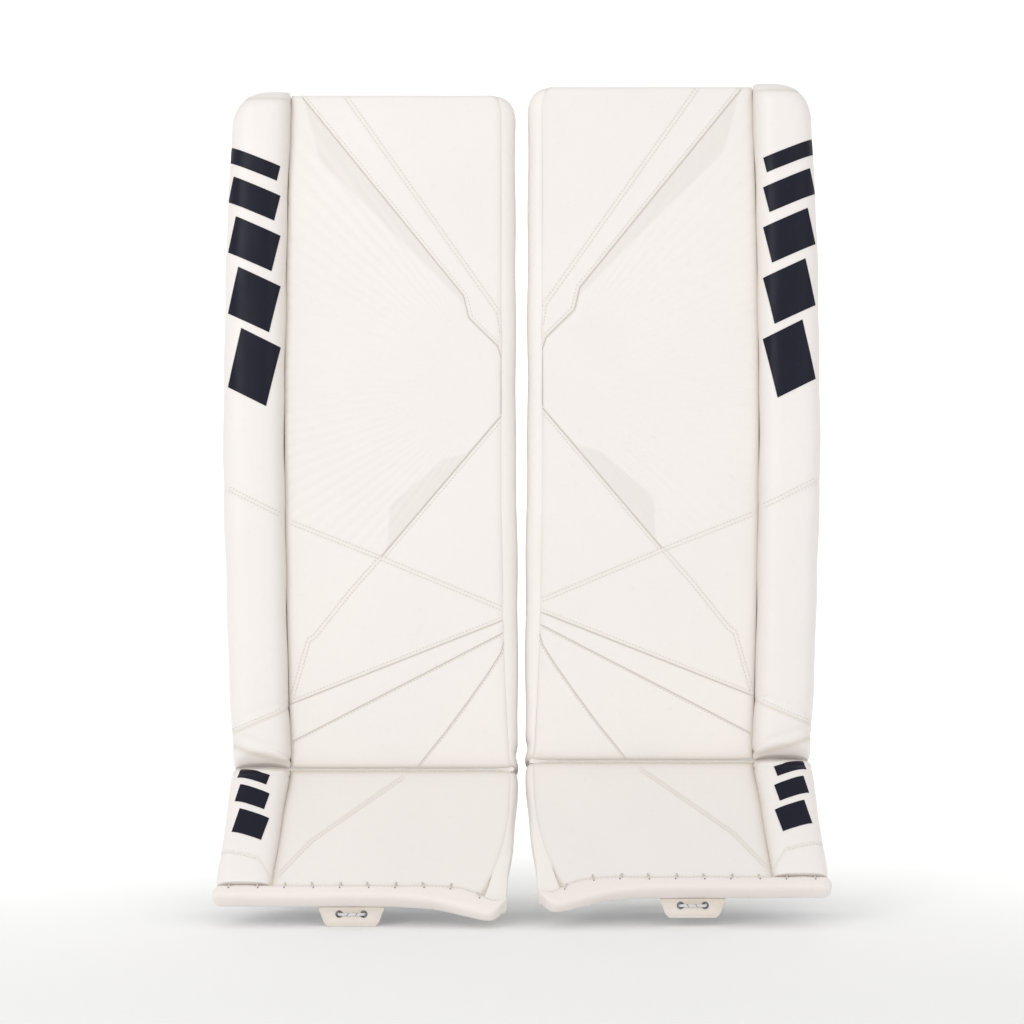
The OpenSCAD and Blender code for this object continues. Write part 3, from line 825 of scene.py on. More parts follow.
def build_rolls():
    z = np.concatenate([BREAK_Z + 7 * (1 - np.cos(quarter(8))), np.arange(BREAK_Z + 8, 744, 2.0),
                        747 + (ROLL_TOP - 747) * np.sin(quarter(24))])
    low = np.clip(1 - (z - BREAK_Z) / 7, 0, 1)
    high = np.clip(1 - (ROLL_TOP - z) / 17, 0, 1)
    ends = np.sqrt(1 - 0.6 * low * low) * np.sqrt(1 - 0.86 * high * high)
    verts, faces = roll_shape(z, roll_outer, roll_seam, lambda t: -20.0, lambda t: 33.0, roll_relief, ends)
    shape = (shin_from(verts), faces)
    add("outer_roll", shape, ROLL, "shin", True, roll_painted_shade)
    skin = Skin(shape)

    def lay(points, out):
        x = np.maximum(points[:, 0], roll_outer(points[:, 1]) + 2.0)
        return skin.along(xyz(x, -80.0, points[:, 1]), (0, 1, 0), out)

    low_z, bars = 492.0, []
    drop = 25 * BAR_SLOPE
    for height in (56, 44, 34, 24, 14):
        lean = height * BAR_SLOPE * 0.32
        x0, x1 = -133.5 + lean, -84.0 - lean
        high_z = low_z + height
        bars.append(patch([(x0 - lean, low_z + drop), (x1 - lean, low_z - drop),
                           (x1 + lean, high_z - drop), (x0 + lean, high_z + drop)], lay, (22, 16)))
        low_z += height + 14
    add("shin_emblem", join(bars), FILM, "shin", True, sharp=30)

    threads = []
    for line, offset in ((ROLL_CROSS[:2], -1.8), (ROLL_CROSS[:2], 1.8), (ROLL_BAND[1:], -3.4)):
        held = [(max(x, -134), h) for x, h in line]
        threads += stitch_row(held, lambda x, h: lay(np.stack([x, h], -1), 0.0), offset=offset)
    add("roll_stitching", join(threads), THREAD, "shin")


def wall_ring(x_in, x_out, y0, y1, belly, n=12, depth=22.0, core=None):
    """A padded wall seen from its end: rounded at the front, nearly flat on its outer side."""
    w, d = x_out - x_in, min(depth, (y1 - y0) * 0.45)
    side = np.sign(w)
    a, b = quarter(n), quarter(6)
    front = np.stack([x_in + w * np.sin(a), y0 + d * (1 - np.cos(a))], -1)
    t = np.linspace(0, 1, n)[1:-1]
    flat = np.stack([x_out + side * belly * np.sin(np.pi * t), y0 + d + (y1 - 4 - y0 - d) * t], -1)
    corner = np.stack([x_out - side * 4 * (1 - np.cos(b)), y1 - 4 + 4 * np.sin(b)], -1)
    core = x_in if core is None else core
    rest = np.array([[x_in + w * 0.4, y1], [core, y1 - 0.5], [core, (y0 + y1) / 2], [core, y0 + 2.9],
                     [x_in, y0 + 2.6]])
    return np.concatenate([front, flat, corner, rest])


def wall_shape(stations, ring_at, ends):
    """Walls taper a little at their rounded ends."""
    rings = []
    for t, end in zip(stations, ends):
        ring = ring_at(t)
        middle = ring.mean(0)
        ring = middle + (ring - middle) * (0.62 + 0.38 * end)
        rings.append(np.column_stack([ring, np.full(len(ring), t)]))
    return loft(np.array(rings))


def wall_painted_shade(v):
    # Painted cream shade, darkest at the walls' lower ends by the crease.
    return masks(0.5 * fade(v[:, 2] - BREAK_Z, 5.0))


def build_walls():
    top = TOP_Z - 1
    z = BREAK_Z + end_stations(top - BREAK_Z, 3.0, 8.0)
    ends = round_ends(z - BREAK_Z, top - BREAK_Z, 8.0)

    def inner(t):
        dent = 2.4 * bump(t - 153, 7)
        wave = 0.35 * np.sin(t / 17.0) + 0.25 * np.sin(t / 41.0)
        seam = inner_seam(t) - 0.8
        return wall_ring(seam, inner_edge(t) - dent + wave, 0.6, 50.4, 0.5, depth=13, core=min(seam, 126.6))

    def outer(t):
        return wall_ring(-71.0, wall_outer(t), 23.0, 50.4, 0.4, depth=6.0)

    for name, ring_at in (("inner_side_wall", inner), ("outer_side_wall", outer)):
        verts, faces = wall_shape(z, ring_at, ends)
        add(name, (shin_from(verts), faces), WALL, "shin", True, wall_painted_shade)

    x = end_stations(inner_seam(TOP_Z) + 5 - roll_seam(TOP_Z), 4.0, 6.0) + roll_seam(TOP_Z)
    a = np.linspace(0, np.pi, 15)
    y = 26.4 - 24.6 * np.sign(np.cos(a)) * np.abs(np.cos(a)) ** 0.5
    rings = []
    for t, end in zip(x, round_ends(x - x[0], x[-1] - x[0], 6.0)):
        arch = xyz(t, y, 775.0 + 6.4 * end * np.sin(a) ** 0.55 + 0.3 * np.sin(t / 9.0))
        rings.append(np.concatenate([arch, xyz(t, [45.0, 26.0, 8.0], 774.0)]))
    # Painted cream shade over the top cap's front strip.
    add("top_cap", loft(np.array(rings)), WALL, "shin",
        painted_shade=lambda v: masks(0.3 * (v[:, 1] < 5)))


build_rolls()
build_walls()


# ---------- boot ----------

BOOT_LINE = [(32, 10), (-51.5, 84.5), (-81, 125)]
BOOT_ROLL_LINE = [(-140, 97.5), (-98.2, 109.4), (-87.4, 125)]
ROLL_TOE_T = -6.0
STITCH_X = [-124.0 + 25.5 * i for i in range(10)]
BINDING_T = 2.4
BOOT_BACK = boot_way([0, 1, 0])
# Profile of a small dark rim at each cord hole: painted shade inside the hole.
HOLE_SHADE_RIM = [(0.1, -0.8), (0.6, -0.7), (0.75, 0.0), (0.6, 0.25), (0.1, 0.2)]


def boot_border(x, s):
    """Rounds the boot's face into the crease and its seams; positive goes back."""
    edge = 1.5 * fade(x - boot_roll_seam(s), 2.8) + 1.2 * fade(boot_inner_seam(s) - x, 2.2)
    return np.minimum(edge, 1.6) + rolled(s)


def boot_relief(x, s):
    d_line, side = along(BOOT_LINE, x, s)
    h = double(d_line, 0.4, 0.8, 1.6) * smooth(2, 14, s) + raised(d_line, side, 0.25)
    h += -0.5 * bump(s - binding_seam(x) + 1.0, 1.6) - 0.25 * bump(s - 12, 3.0)
    return h + 0.4 * np.sin(x / 37 + 0.7) * np.sin(s / 31) + 0.2 * np.sin(x / 13 + s / 17)


def boot_front(x, s):
    return boot_border(x, s) - boot_relief(x, s)


def boot_painted_shade(v):
    x, s = v[:, 0], boot_length(v)
    # Painted cream shade along the sewn line, the seams, the crease and the binding seam, and a light painted
    # shade over the whole boot face.
    return masks(0.5 * bump(along(BOOT_LINE, x, s)[0] - 1.6, 0.9), 0.9 * fade(x - boot_roll_seam(s), 3.5),
                 0.6 * fade(boot_inner_seam(s) - x, 1.6), 0.8 * fade(s, 5.0),
                 0.35 * bump(s - binding_seam(x) + 0.6, 1.2), facet=np.full(len(v), 0.12))


def boot_roll_painted_shade(v):
    x, s = v[:, 0], boot_length(v)
    # Painted cream shade along the sewn line, the seam and the fold near the crease.
    return masks(0.5 * bump(along(BOOT_ROLL_LINE, x, s)[0], 0.9), 0.9 * fade(boot_roll_seam(s) + 2 - x, 3.0),
                 0.7 * fade(np.abs(s - 9), 3.0) * (v[:, 1] < -2))


def roll_front_t(s):
    return np.interp(s, [0, 20, SEAM_S, BOOT_L], [-19.0, -18.4, ROLL_TOE_T, ROLL_TOE_T + 1])


def in_boot(points, depth):
    """Points (x, s) at a depth in the boot's frame, taken to the pad's."""
    return boot_to_pad(xyz(points[:, 0], depth, points[:, 1]))


def build_boot():
    low, end = 128, SEAM_S + 3
    s = np.concatenate([9 * (1 - np.cos(quarter(10))), np.arange(10.5, low, 1.7), np.linspace(low, end, 9)])
    x0, x1 = boot_roll_seam(s)[:, None], boot_inner_seam(s)[:, None]
    front_x = x0 + (x1 - x0) * np.linspace(0, 1, 140)
    back_x = x0 + (x1 - x0) * np.linspace(1, 0, 20)
    reach = np.where(s > low, (s - low) / (end - low), 0)[:, None]

    def stretched(x):
        """The lowest stations run down to the binding, which drops at the inner corner."""
        return np.where(reach > 0, low + (binding_seam(x) + 3 - low) * reach, s[:, None])

    front_s, back_s = stretched(front_x), stretched(back_x)
    rings = np.concatenate([xyz(front_x, boot_front(front_x, front_s), front_s),
                            xyz(back_x, 2.0 + boot_border(back_x, back_s), back_s)], 1)
    add("boot_cover", loft(boot_from(rings)), FACE, "boot", True, boot_painted_shade)
    threads = []
    for offset in (-1.6, 1.6):
        threads += stitch_row(BOOT_LINE, lambda x, t: boot_from(xyz(x, boot_front(x, t), t)), offset=offset)

    st = np.concatenate([6 * (1 - np.cos(quarter(7))), np.arange(8.0, SEAM_S + 1, 2.2)])
    ends = np.sqrt(1 - 0.55 * np.clip(1 - st / 7, 0, 1) ** 2)

    def relief(x, t):
        d, _ = along(BOOT_ROLL_LINE, x, t)
        wave = 0.4 * np.sin(t / 15 + x / 21)
        return -0.7 * bump(d, 1.1) - 1.0 * bump(t - 8.5, 2.2) + wave - 0.8 * bump(t - 133, 4)

    verts, faces = roll_shape(st, boot_roll_edge, boot_roll_seam, roll_front_t,
                              lambda t: np.interp(t, [0, SEAM_S], [32.0, 11.0]), relief, ends)
    roll = (boot_from(verts), faces)
    add("boot_roll", roll, ROLL, "boot", True, boot_roll_painted_shade)
    skin = Skin(roll)

    def lay(points, out):
        return skin.along(in_boot(points, -70.0), BOOT_BACK, out)

    threads += stitch_row(BOOT_ROLL_LINE[:2],
                          lambda x, t: lay(np.stack([np.maximum(x, -133.5), t], -1), 0.0), offset=2)
    add("boot_stitching", join(threads), THREAD, "boot")

    low_s, bars, drop = 86.0, [], 14 * BAR_SLOPE
    x0, x1 = -122.0, -94.0
    for height in (24, 17, 11):
        lean = height * BAR_SLOPE * 0.35
        high_s = low_s - height
        bars.append(patch([(x0 - lean, low_s - drop), (x1 - lean, low_s + drop),
                           (x1 + lean, high_s + drop), (x0 + lean, high_s - drop)], lay, (16, 12)))
        low_s -= height + 9
    add("boot_emblem", join(bars), FILM, "boot", True, sharp=30)


def build_boot_walls():
    end = SEAM_S + 4
    st = end_stations(end, 4.0, 7.0)
    ends = np.where(st < 20, round_ends(st, end, 7.0), 1.0)

    def inner(t):
        seam, wave = boot_inner_seam(t) - 0.8, 0.4 * np.sin(t / 11.0)
        return wall_ring(seam, max(boot_inner_edge(t) + wave, seam + 4), 0.5, boot_back(t) + 0.4, 0.4,
                         depth=np.interp(t, [50, 105], [13, 2.6]), core=min(seam, 127.5))

    def outer(t):
        return wall_ring(-126.0 - 7 * t / SEAM_S, boot_roll_edge(t) + 1.5,
                         np.interp(t, [0, SEAM_S], [26.0, 5.0]), boot_back(t) + 0.4, 0.3)

    parts = []
    for ring_at in (inner, outer):
        verts, faces = wall_shape(st, ring_at, ends)
        low = verts[:, 2] > 118
        floor = binding_seam(verts[low, 0]) + 4
        verts[low, 2] = 118 + (verts[low, 2] - 118) * (floor - 118) / (end - 118)
        parts.append((boot_from(verts), faces))
    add("boot_side_walls", join(parts), WALL, "boot", True)

    s = (end_stations(SEAM_S - 3, 5.0, 3.0) + 1)[:, None]
    x0, x1 = np.interp(s, [0, SEAM_S], [-128.0, -134.0]), np.interp(s, [0, SEAM_S], [130.0, 127.0])
    rise = np.interp(np.minimum(s - 1, s[-1] - s), [0, 4], [1.2, 3.2])
    out_x = x0 + (x1 - x0) * np.linspace(0, 1, 60)
    rim = np.minimum(out_x - x0, x1 - out_x)
    quilt = 0.9 * np.maximum(bump(out_x % 44 - 22, 1.6), bump(s % 36 - 18, 1.6))
    top = boot_back(s) + rise - 1.8 * fade(rim, 2.5) - quilt + 0.5 * np.sin(out_x / 23) * np.sin(s / 15)
    in_x = out_x[:, ::-1][:, ::6]
    rings = np.concatenate([xyz(out_x, top, s), xyz(in_x, boot_back(s) - 0.6, s)], 1)
    add("boot_back_lining", loft(boot_from(rings)), LINING, "boot", True)


def build_binding():
    x = end_stations(139.2 + 131.6, 2.0, 8.0) - 139.2
    c, sn = superellipse(64, 3.4)
    near_seam = np.clip(-c, 0, 1) ** 2
    rings = []
    for t, end in zip(x, round_ends(x - x[0], x[-1] - x[0], 8.0)):
        up, low = binding_seam(t) - 1.2, toe_edge(t) + 2.6
        up = up + 2.5 * (1 - end) if t < 0 else up
        back = boot_back(low - 8) + 2.6
        pucker = sum(bump(t - at, 3.0) for at in STITCH_X)
        half_s = (low - up) / 2 * (0.35 + 0.65 * end)
        half_t = (back + BINDING_T + 0.6) / 2 * (0.6 + 0.4 * end)
        depth = (back - BINDING_T) / 2 + half_t * sn
        depth += np.where(sn < 0, 1.1 * pucker * near_seam - 0.2 * np.sin(t / 6.5), 0)
        rings.append(xyz(t, depth, (up + low) / 2 + half_s * c + 0.25 * np.sin(t / 15)))
    shape = loft(boot_to_pad(np.array(rings)))
    # The binding's mask is painted cream shade along its seam with the boot face.
    add("toe_binding", shape, BINDING, "boot", True,
        lambda v: masks(0.7 * bump(boot_length(v) - binding_seam(v[:, 0]) + 0.8, 1.3)))
    skin = Skin(shape)

    def lay(points, out):
        return skin.along(in_boot(points, -40.0), BOOT_BACK, out)

    cords, holes = [], []
    for i, sx in enumerate(STITCH_X):
        s0 = binding_seam(sx) + (2.5 if i == len(STITCH_X) - 1 else 0)
        lean = 0.9 if i % 2 else -0.5
        path = xyz(sx + lean * np.linspace(-1, 1, 9), 0.0, s0 + np.linspace(-3.0, 3.6, 9))
        on = np.where(path[:, 2:3] > s0 - 1.2, lay(path[:, ::2], 0.35), boot_to_pad(path + [0, -0.9, 0]))
        on[[0, -1]] += BOOT_BACK * 1.6
        cords.append(tube(on, 0.95, 8))
        above = boot_to_pad(np.array([sx - lean, -0.25, s0 - 3.2]))
        below = lay(np.array([[sx + lean, s0 + 3.9]]), 0.0)[0]
        for at in (above, below):
            holes.append(lathe(HOLE_SHADE_RIM, at, -BOOT_BACK, 12))
    add("binding_stitches", join(cords), THREAD, "boot", True)
    # Dark rims where the cords enter the binding: painted shade in the holes.
    add("binding_hole_shades", join(holes), DARK_THREAD, "boot")
    line = [(x_, binding_seam(x_) + 2.0) for x_ in np.linspace(-134, 122, 60)]
    threads = stitch_row(line, lambda a, b: lay(np.stack([a, b], -1), 0))
    add("binding_thread", join(threads), THREAD, "boot")


build_boot()
build_boot_walls()
build_binding()


# ---------- toe tab, eyelets and tie ----------

TAB_X, TAB_Y, TAB_T = -12.0, -86.6, 3.6
EYELET_DX, EYELET_Z = 11.3, 11.5


def plate(outline, holes, thickness, bevel):
    """A flat piece with rounded edges, in (x, z), centred on y = 0. holes are (x, z, radius)."""
    curve = bpy.data.curves.new("plate", "CURVE")
    curve.dimensions, curve.fill_mode = "2D", "BOTH"
    turn = np.linspace(0, 2 * np.pi, 28)[:-1]
    loops = [outline] + [[(x + r * math.cos(a), z + r * math.sin(a)) for a in turn] for x, z, r in holes]
    for loop in loops:
        spline = curve.splines.new("POLY")
        spline.points.add(len(loop) - 1)
        for point, (x, z) in zip(spline.points, loop):
            point.co = (x, z, 0, 1)
        spline.use_cyclic_u = True
    curve.extrude, curve.bevel_depth, curve.bevel_resolution = thickness / 2 - bevel, bevel, 2
    curve.offset = -bevel
    obj = bpy.data.objects.new("plate", curve)
    mesh = bpy.data.meshes.new_from_object(obj)
    verts = np.array([v.co for v in mesh.vertices])[:, [0, 2, 1]]
    faces = [list(p.vertices) for p in mesh.polygons]
    bpy.data.objects.remove(obj)
    return verts, faces


def rounded_outline(points, radius, steps=6):
    """A closed outline with each corner rounded."""
    p = [np.array(q, float) for q in points]
    out = []
    for a, b, c in zip(p[-1:] + p[:-1], p, p[1:] + p[:1]):
        u, v = (a - b) / np.linalg.norm(a - b), (c - b) / np.linalg.norm(c - b)
        half = math.acos(float(np.clip(u @ v, -1, 1))) / 2
        reach = min(radius / math.tan(half), 0.45 * np.linalg.norm(a - b), 0.45 * np.linalg.norm(c - b))
        start, end = b + u * reach, b + v * reach
        for t in np.linspace(0, 1, steps):
            out.append(tuple((1 - t) ** 2 * start + 2 * t * (1 - t) * b + t * t * end))
    return out


def build_tab():
    outline = rounded_outline([(-31, 18), (-25.5, 4), (-22, 0), (22, 0), (25.5, 4), (31, 18)], 3.0)
    tab = plate(outline, [(side * EYELET_DX, EYELET_Z, 2.75) for side in (-1, 1)], TAB_T, 0.7)
    ripple = 2.1 + 0.08 * np.sin(np.linspace(0, 40, 30))
    hem = tube([(x, 0, 16) for x in np.linspace(-30, 30, 30)], ripple, 16)
    verts, faces = join([tab, hem])
    # The tab's mask is painted cream shade towards its top, along the hem.
    add("toe_tab", (verts + [TAB_X, TAB_Y, 0], faces), TAB, "tab", True,
        lambda v: masks(0.6 * smooth(9, 17, v[:, 2])))
    border = [(-28.0, 14.5), (-23.2, 4.4), (-20.8, 2.3), (20.8, 2.3), (23.2, 4.4), (28.0, 14.5)]
    threads = stitch_row([(TAB_X + x, z) for x, z in border],
                         lambda x, z: xyz(x, TAB_Y - TAB_T / 2, z), 2.6, 1.8, 0.3)
    add("tab_stitching", join(threads), THREAD, "tab")

    h = TAB_T / 2
    a = np.linspace(np.pi, 0, 9)
    ring = [(2.75 + 0.75 * math.cos(t), -h - 0.1 - 0.62 * math.sin(t)) for t in a]
    ring += [(3.4, -h - 0.02), (2.7, -h - 0.02), (2.7, h + 0.02), (3.4, h + 0.02)]
    ring += [(2.75 + 0.75 * math.cos(t), h + 0.1 + 0.62 * math.sin(t)) for t in a[::-1]]
    eyelets = []
    for side in (-1, 1):
        verts, faces = lathe(ring + ring[:1], (TAB_X + side * EYELET_DX, TAB_Y, EYELET_Z), (0, 1, 0), 36)
        eyelets.append((verts, faces[:-2]))
    add("toe_eyelets", join(eyelets), EYELET, "tab", True)

    front, rear = TAB_Y - h - 1.9, TAB_Y + h + 1.0
    half = EYELET_DX - 1.6
    path = [(x, front, 0.25 * math.sin(x)) for x in np.linspace(-half, half, 15)]
    path += [(EYELET_DX - 0.5, front + 0.4, 0), (EYELET_DX, front + 1.4, 0)]
    path += [(EYELET_DX, y, 0) for y in np.linspace(front + 2.2, rear, 5)]
    for a in np.linspace(0, np.pi, 25)[1:-1]:
        path.append((EYELET_DX * math.cos(a), rear + EYELET_DX * math.sin(a), 0))
    path += [(-EYELET_DX, y, 0) for y in np.linspace(rear, front + 2.2, 5)]
    path += [(-EYELET_DX, front + 1.4, 0), (0.5 - EYELET_DX, front + 0.4, 0)]
    centre = np.array([TAB_X, 0, EYELET_Z])
    add("toe_tie", tube(path + centre, 1.3, 14, closed=True), FLECKED, "tab", True)
    way = np.linspace(-1, 1, 7)
    across, up = front - 1.05 * np.cos(way * 1.2) - 0.12, 1.25 * np.sin(way * 1.35)
    marks = [tube(xyz(x + 0.9 * way, across, up) + centre, 0.32, 6) for x in (-3.4, 4.6)]
    add("tie_tracers", join(marks), DARK_THREAD, "tab")


build_tab()


# ---------- padded back, leg channel and straps ----------

def cad_shape(node):
    """A soft solid of the frame's right pad as a start shape, in the pad's own millimetres."""
    mesh = frame["nodes"][f"right_{node}"].data
    x0, y0, _ = FLEX["right"]
    verts = (np.array([v.co for v in mesh.vertices]) - [x0, y0, LOW_Z["right"]]) * 1000
    return verts, [list(p.vertices) for p in mesh.polygons]


def evaluated(obj):
    graph = bpy.context.evaluated_depsgraph_get()
    mesh = bpy.data.meshes.new_from_object(obj.evaluated_get(graph))
    verts = np.array([v.co for v in mesh.vertices])
    return verts, [list(p.vertices) for p in mesh.polygons]


def stuffed(shape, limit, voxel=4.5, pressure=4.0):
    """Sews the shape up as a cloth skin and lets pressure swell it; no point moves past the limit in mm."""
    start = mesh_object("swelling", shape[0] / 1000, shape[1])
    remesh = start.modifiers.new("remesh", "REMESH")
    remesh.mode, remesh.voxel_size = "VOXEL", voxel / 1000
    verts, faces = evaluated(start)
    bpy.data.objects.remove(start)
    skin = mesh_object("swelling", verts, faces)
    skin.modifiers.new("even", "SMOOTH").iterations = 3
    before, faces = evaluated(skin)
    skin.modifiers.clear()
    skin.data.vertices.foreach_set("co", before.astype(np.float32).ravel())
    cloth = skin.modifiers.new("cloth", "CLOTH")
    cloth.settings.quality = 4
    cloth.settings.tension_stiffness = 12
    cloth.settings.compression_stiffness = 12
    cloth.settings.use_pressure = True
    cloth.settings.uniform_pressure_force = pressure
    cloth.settings.effector_weights.gravity = 0
    cloth.point_cache.frame_start, cloth.point_cache.frame_end = 1, 20
    for frame_number in range(1, 21):
        bpy.context.scene.frame_set(frame_number)
    after, _ = evaluated(skin)
    skin.modifiers.clear()
    move = (after - before) * 1000
    size = np.linalg.norm(move, axis=1, keepdims=True) + 1e-9
    before = before + move / size * limit * np.tanh(size / limit) / 1000
    skin.data.vertices.foreach_set("co", before.astype(np.float32).ravel())
    bpy.context.scene.frame_set(1)
    skin.data.update()
    subdivision = skin.modifiers.new("subdivision", "SUBSURF")
    subdivision.levels = subdivision.render_levels = 1
    verts, faces = evaluated(skin)
    bpy.data.objects.remove(skin)
    return verts * 1000, faces


def shrunk(shape, inset):
    """Scales a shape so that its box loses the inset, in mm along x, y and z, on each side."""
    verts, faces = shape
    low, high = verts.min(0), verts.max(0)
    factor = 1 - 2 * np.array(inset) / (high - low)
    return (low + high) / 2 + (verts - (low + high) / 2) * factor, faces


def sewn(shape, channels):
    """Pulls sewn channels into a skin. channels(verts) gives the depth wanted at each point."""
    verts, faces = shape
    mesh = bpy.data.meshes.new("normals")
    mesh.from_pydata(verts.tolist(), [], faces)
    normals = np.array([v.normal for v in mesh.vertices])
    bpy.data.meshes.remove(mesh)
    return verts - normals * channels(verts)[:, None], faces


REAR_Y = 53.4
SADDLE_R = 108.1
STRAP_T = 2.7
UP = np.array([0.0, 0.0, 1.0])
FITTING_S = 35.0
PANEL_TOP = 776


def rested(shape):
    """Flat where it lies on the back panel."""
    verts, faces = shape
    return xyz(verts[:, 0], np.maximum(verts[:, 1], REAR_Y), verts[:, 2]), faces


def channel_painted_shade(channels):
    # Painted cream shade, deepest in the sewn channels.
    return lambda v: masks(channels(v) / 3.0)


def piping(path, skin, radius=1.5, closed=True, out=0.5):
    """A cord sewn into an edge: the path is taken to the nearest place on the skin."""
    points = list(path)
    total, points = resampled(points + points[:1] if closed else points)
    t = np.linspace(0, total[-1], max(8, int(total[-1] / 4)) + 1)
    even = np.stack([np.interp(t, total, points[:, k]) for k in range(3)], -1)
    laid = skin.near(even[:-1] if closed else even, out)
    for _ in range(2):
        if closed:
            laid = (np.roll(laid, 1, 0) + 2 * laid + np.roll(laid, -1, 0)) / 4
        else:
            laid[1:-1] = (laid[:-2] + 2 * laid[1:-1] + laid[2:]) / 4
    return tube(laid, radius, 8, closed)


def box_loop(x0, x1, z0, z1, y, radius):
    """A rounded rectangle at one depth, as a closed path."""
    return [(x, y, z) for x, z in rounded_outline([(x0, z0), (x1, z0), (x1, z1), (x0, z1)], radius)]


def build_cushions():
    trims = []

    def cushion(name, inset, limit, voxel, channels, material):
        skin = sewn(rested(stuffed(shrunk(cad_shape(name), inset), limit, voxel)), channels)
        add(name, skin, material, "shin", True, channel_painted_shade(channels))
        return Skin(skin)

    def cradle_lines(v):
        x, z = v[:, 0], v[:, 2]
        ribs = sum(bump(x - c, 2.0) for c in (-46, -24, -2, 20, 39)) * smooth(172, 184, z)
        ribs = ribs * (1 - smooth(414, 426, z))
        return 2.4 * np.clip(ribs, 0, 1) * (v[:, 1] > REAR_Y + 4)

    skin = cushion("shin_cradle", (2.5, 1.5, 2.5), 5.0, 4.5, cradle_lines, LINING)
    trims += [piping([(x, 90, z) for z in np.linspace(176, 422, 40)], skin, 1.5, False) for x in (-78, 68)]

    def thigh_lines(v):
        x, z = v[:, 0], v[:, 2]
        inner = smooth(8, 14, 96 - np.abs(x)) * smooth(8, 14, 86 - np.abs(z - 676))
        slant = np.maximum(bump((x + z) % 48 - 24, 1.9), bump((x - z) % 48 - 24, 1.9))
        return 2.0 * slant * inner * (v[:, 1] > REAR_Y + 4)

    skin = cushion("thigh_lining", (3, 1, 3), 4.5, 4.5, thigh_lines, LINING)
    trims.append(piping(box_loop(-94, 94, 592, 760, 60, 14), skin, 1.7))

    def knee_lines(v):
        d = np.abs(v[:, 1] - (REAR_Y + 20))
        return 1.6 * bump(d, 1.8) + 1.2 * bump(np.abs(v[:, 2] - 508.5) - 22, 1.8) * (v[:, 1] > 116)

    skin = cushion("knee_block", (4.5, 3.5, 4.5), 8.0, 5.0, knee_lines, WING)
    trims.append(piping(box_loop(22, 116, 447, 570, 119, 12), skin))

    def wedge_lines(v):
        return 1.6 * sum(bump(v[:, 2] - z, 1.8) for z in (248, 305, 362)) * (v[:, 1] > 120)

    skin = cushion("inner_calf_wedge", (4, 4, 4), 7.0, 5.0, wedge_lines, WING)
    for x, y in ((116, 155), (86, 170)):
        trims.append(piping([(x, y, z) for z in np.linspace(198, 412, 36)], skin, 1.5, False))
    add("cushion_piping", join(trims), BINDING, "shin")


def around(angle, radius, z):
    a = np.radians(angle)
    return xyz(WING_X + radius * np.cos(a), WING_Y + radius * np.sin(a), z)


def build_wing(name, body, a0, z0, z1, ribs):
    """A curved wing from its free edge at the angle a0 round to its hinged edge, between two heights."""

    def polar(v):
        dx, dy = v[:, 0] - WING_X, v[:, 1] - WING_Y
        return np.degrees(np.arctan2(dy, dx)) % 360, np.hypot(dx, dy)

    def lines(v):
        angle, _ = polar(v)
        inside_edge = smooth(4, 9, angle - a0) * (1 - smooth(199, WING_END, angle))
        return 2.0 * sum(bump(v[:, 2] - z, 2.0) for z in ribs) * inside_edge

    verts, faces = sewn(stuffed(shrunk(cad_shape(name), (1.5, 1.5, 3.0)), 3.6), lines)
    angle, radius = polar(verts)
    keep = np.clip(radius, WING_R - 1.5, WING_R + WING_T + 1.2)
    shape = (around(angle, keep, np.clip(verts[:, 2], z0 - 1.5, z1 + 1.5)), faces)
    add(name, shape, WING, body, True, channel_painted_shade(lines))
    mid_r = WING_R + WING_T / 2
    edge = [around(a, mid_r, z0) for a in np.linspace(a0 + 6, WING_END, 24)]
    edge += [around(WING_END, mid_r, z) for z in np.linspace(z0, z1, 18)]
    edge += [around(a, mid_r, z1) for a in np.linspace(WING_END, a0 + 6, 24)]
    edge += [around(a0, mid_r, z) for z in np.linspace(z1 - 8, z0 + 8, 18)]
    add(f"{name}_piping", piping(edge, Skin(shape), 1.7), BINDING, body)


def webbing(path, normals, width_way, width, thickness, columns=13):
    """A flat strap along a path, with slightly thicker selvedges."""
    w = np.linspace(-0.5, 0.5, columns)
    half = thickness / 2 - 0.15 + 0.25 * np.exp(-(0.5 - np.abs(w)) * width / 1.6)
    side = np.array(width_way, float)
    rings = []
    for p, n in zip(path, normals):
        rings.append(np.concatenate([p + np.outer(w * width, side) + np.outer(half, n),
                                     p + np.outer(w[::-1] * width, side) - np.outer(half, n)]))
    return loft(np.array(rings))


def strap_route(a0, bend, straight, z):
    """On along the curve from the wing's free edge, then straight inwards; points and outward normals."""
    arc = np.linspace(a0 - 0.4, bend, 40)
    b = math.radians(bend)
    normals = [np.array([math.cos(math.radians(a)), math.sin(math.radians(a)), 0]) for a in arc]
    path, last = list(around(arc, SADDLE_R, z)), normals[-1]
    corner = path[-1]
    for d in np.linspace(3, straight - 1, 34):
        sag = 0.35 * max(math.sin(d / 11.0), 0) * 0.5
        path.append(corner + np.array([math.sin(b), -math.cos(b), 0]) * d - last * sag)
        normals.append(last)
    return np.array(path), np.array(normals)


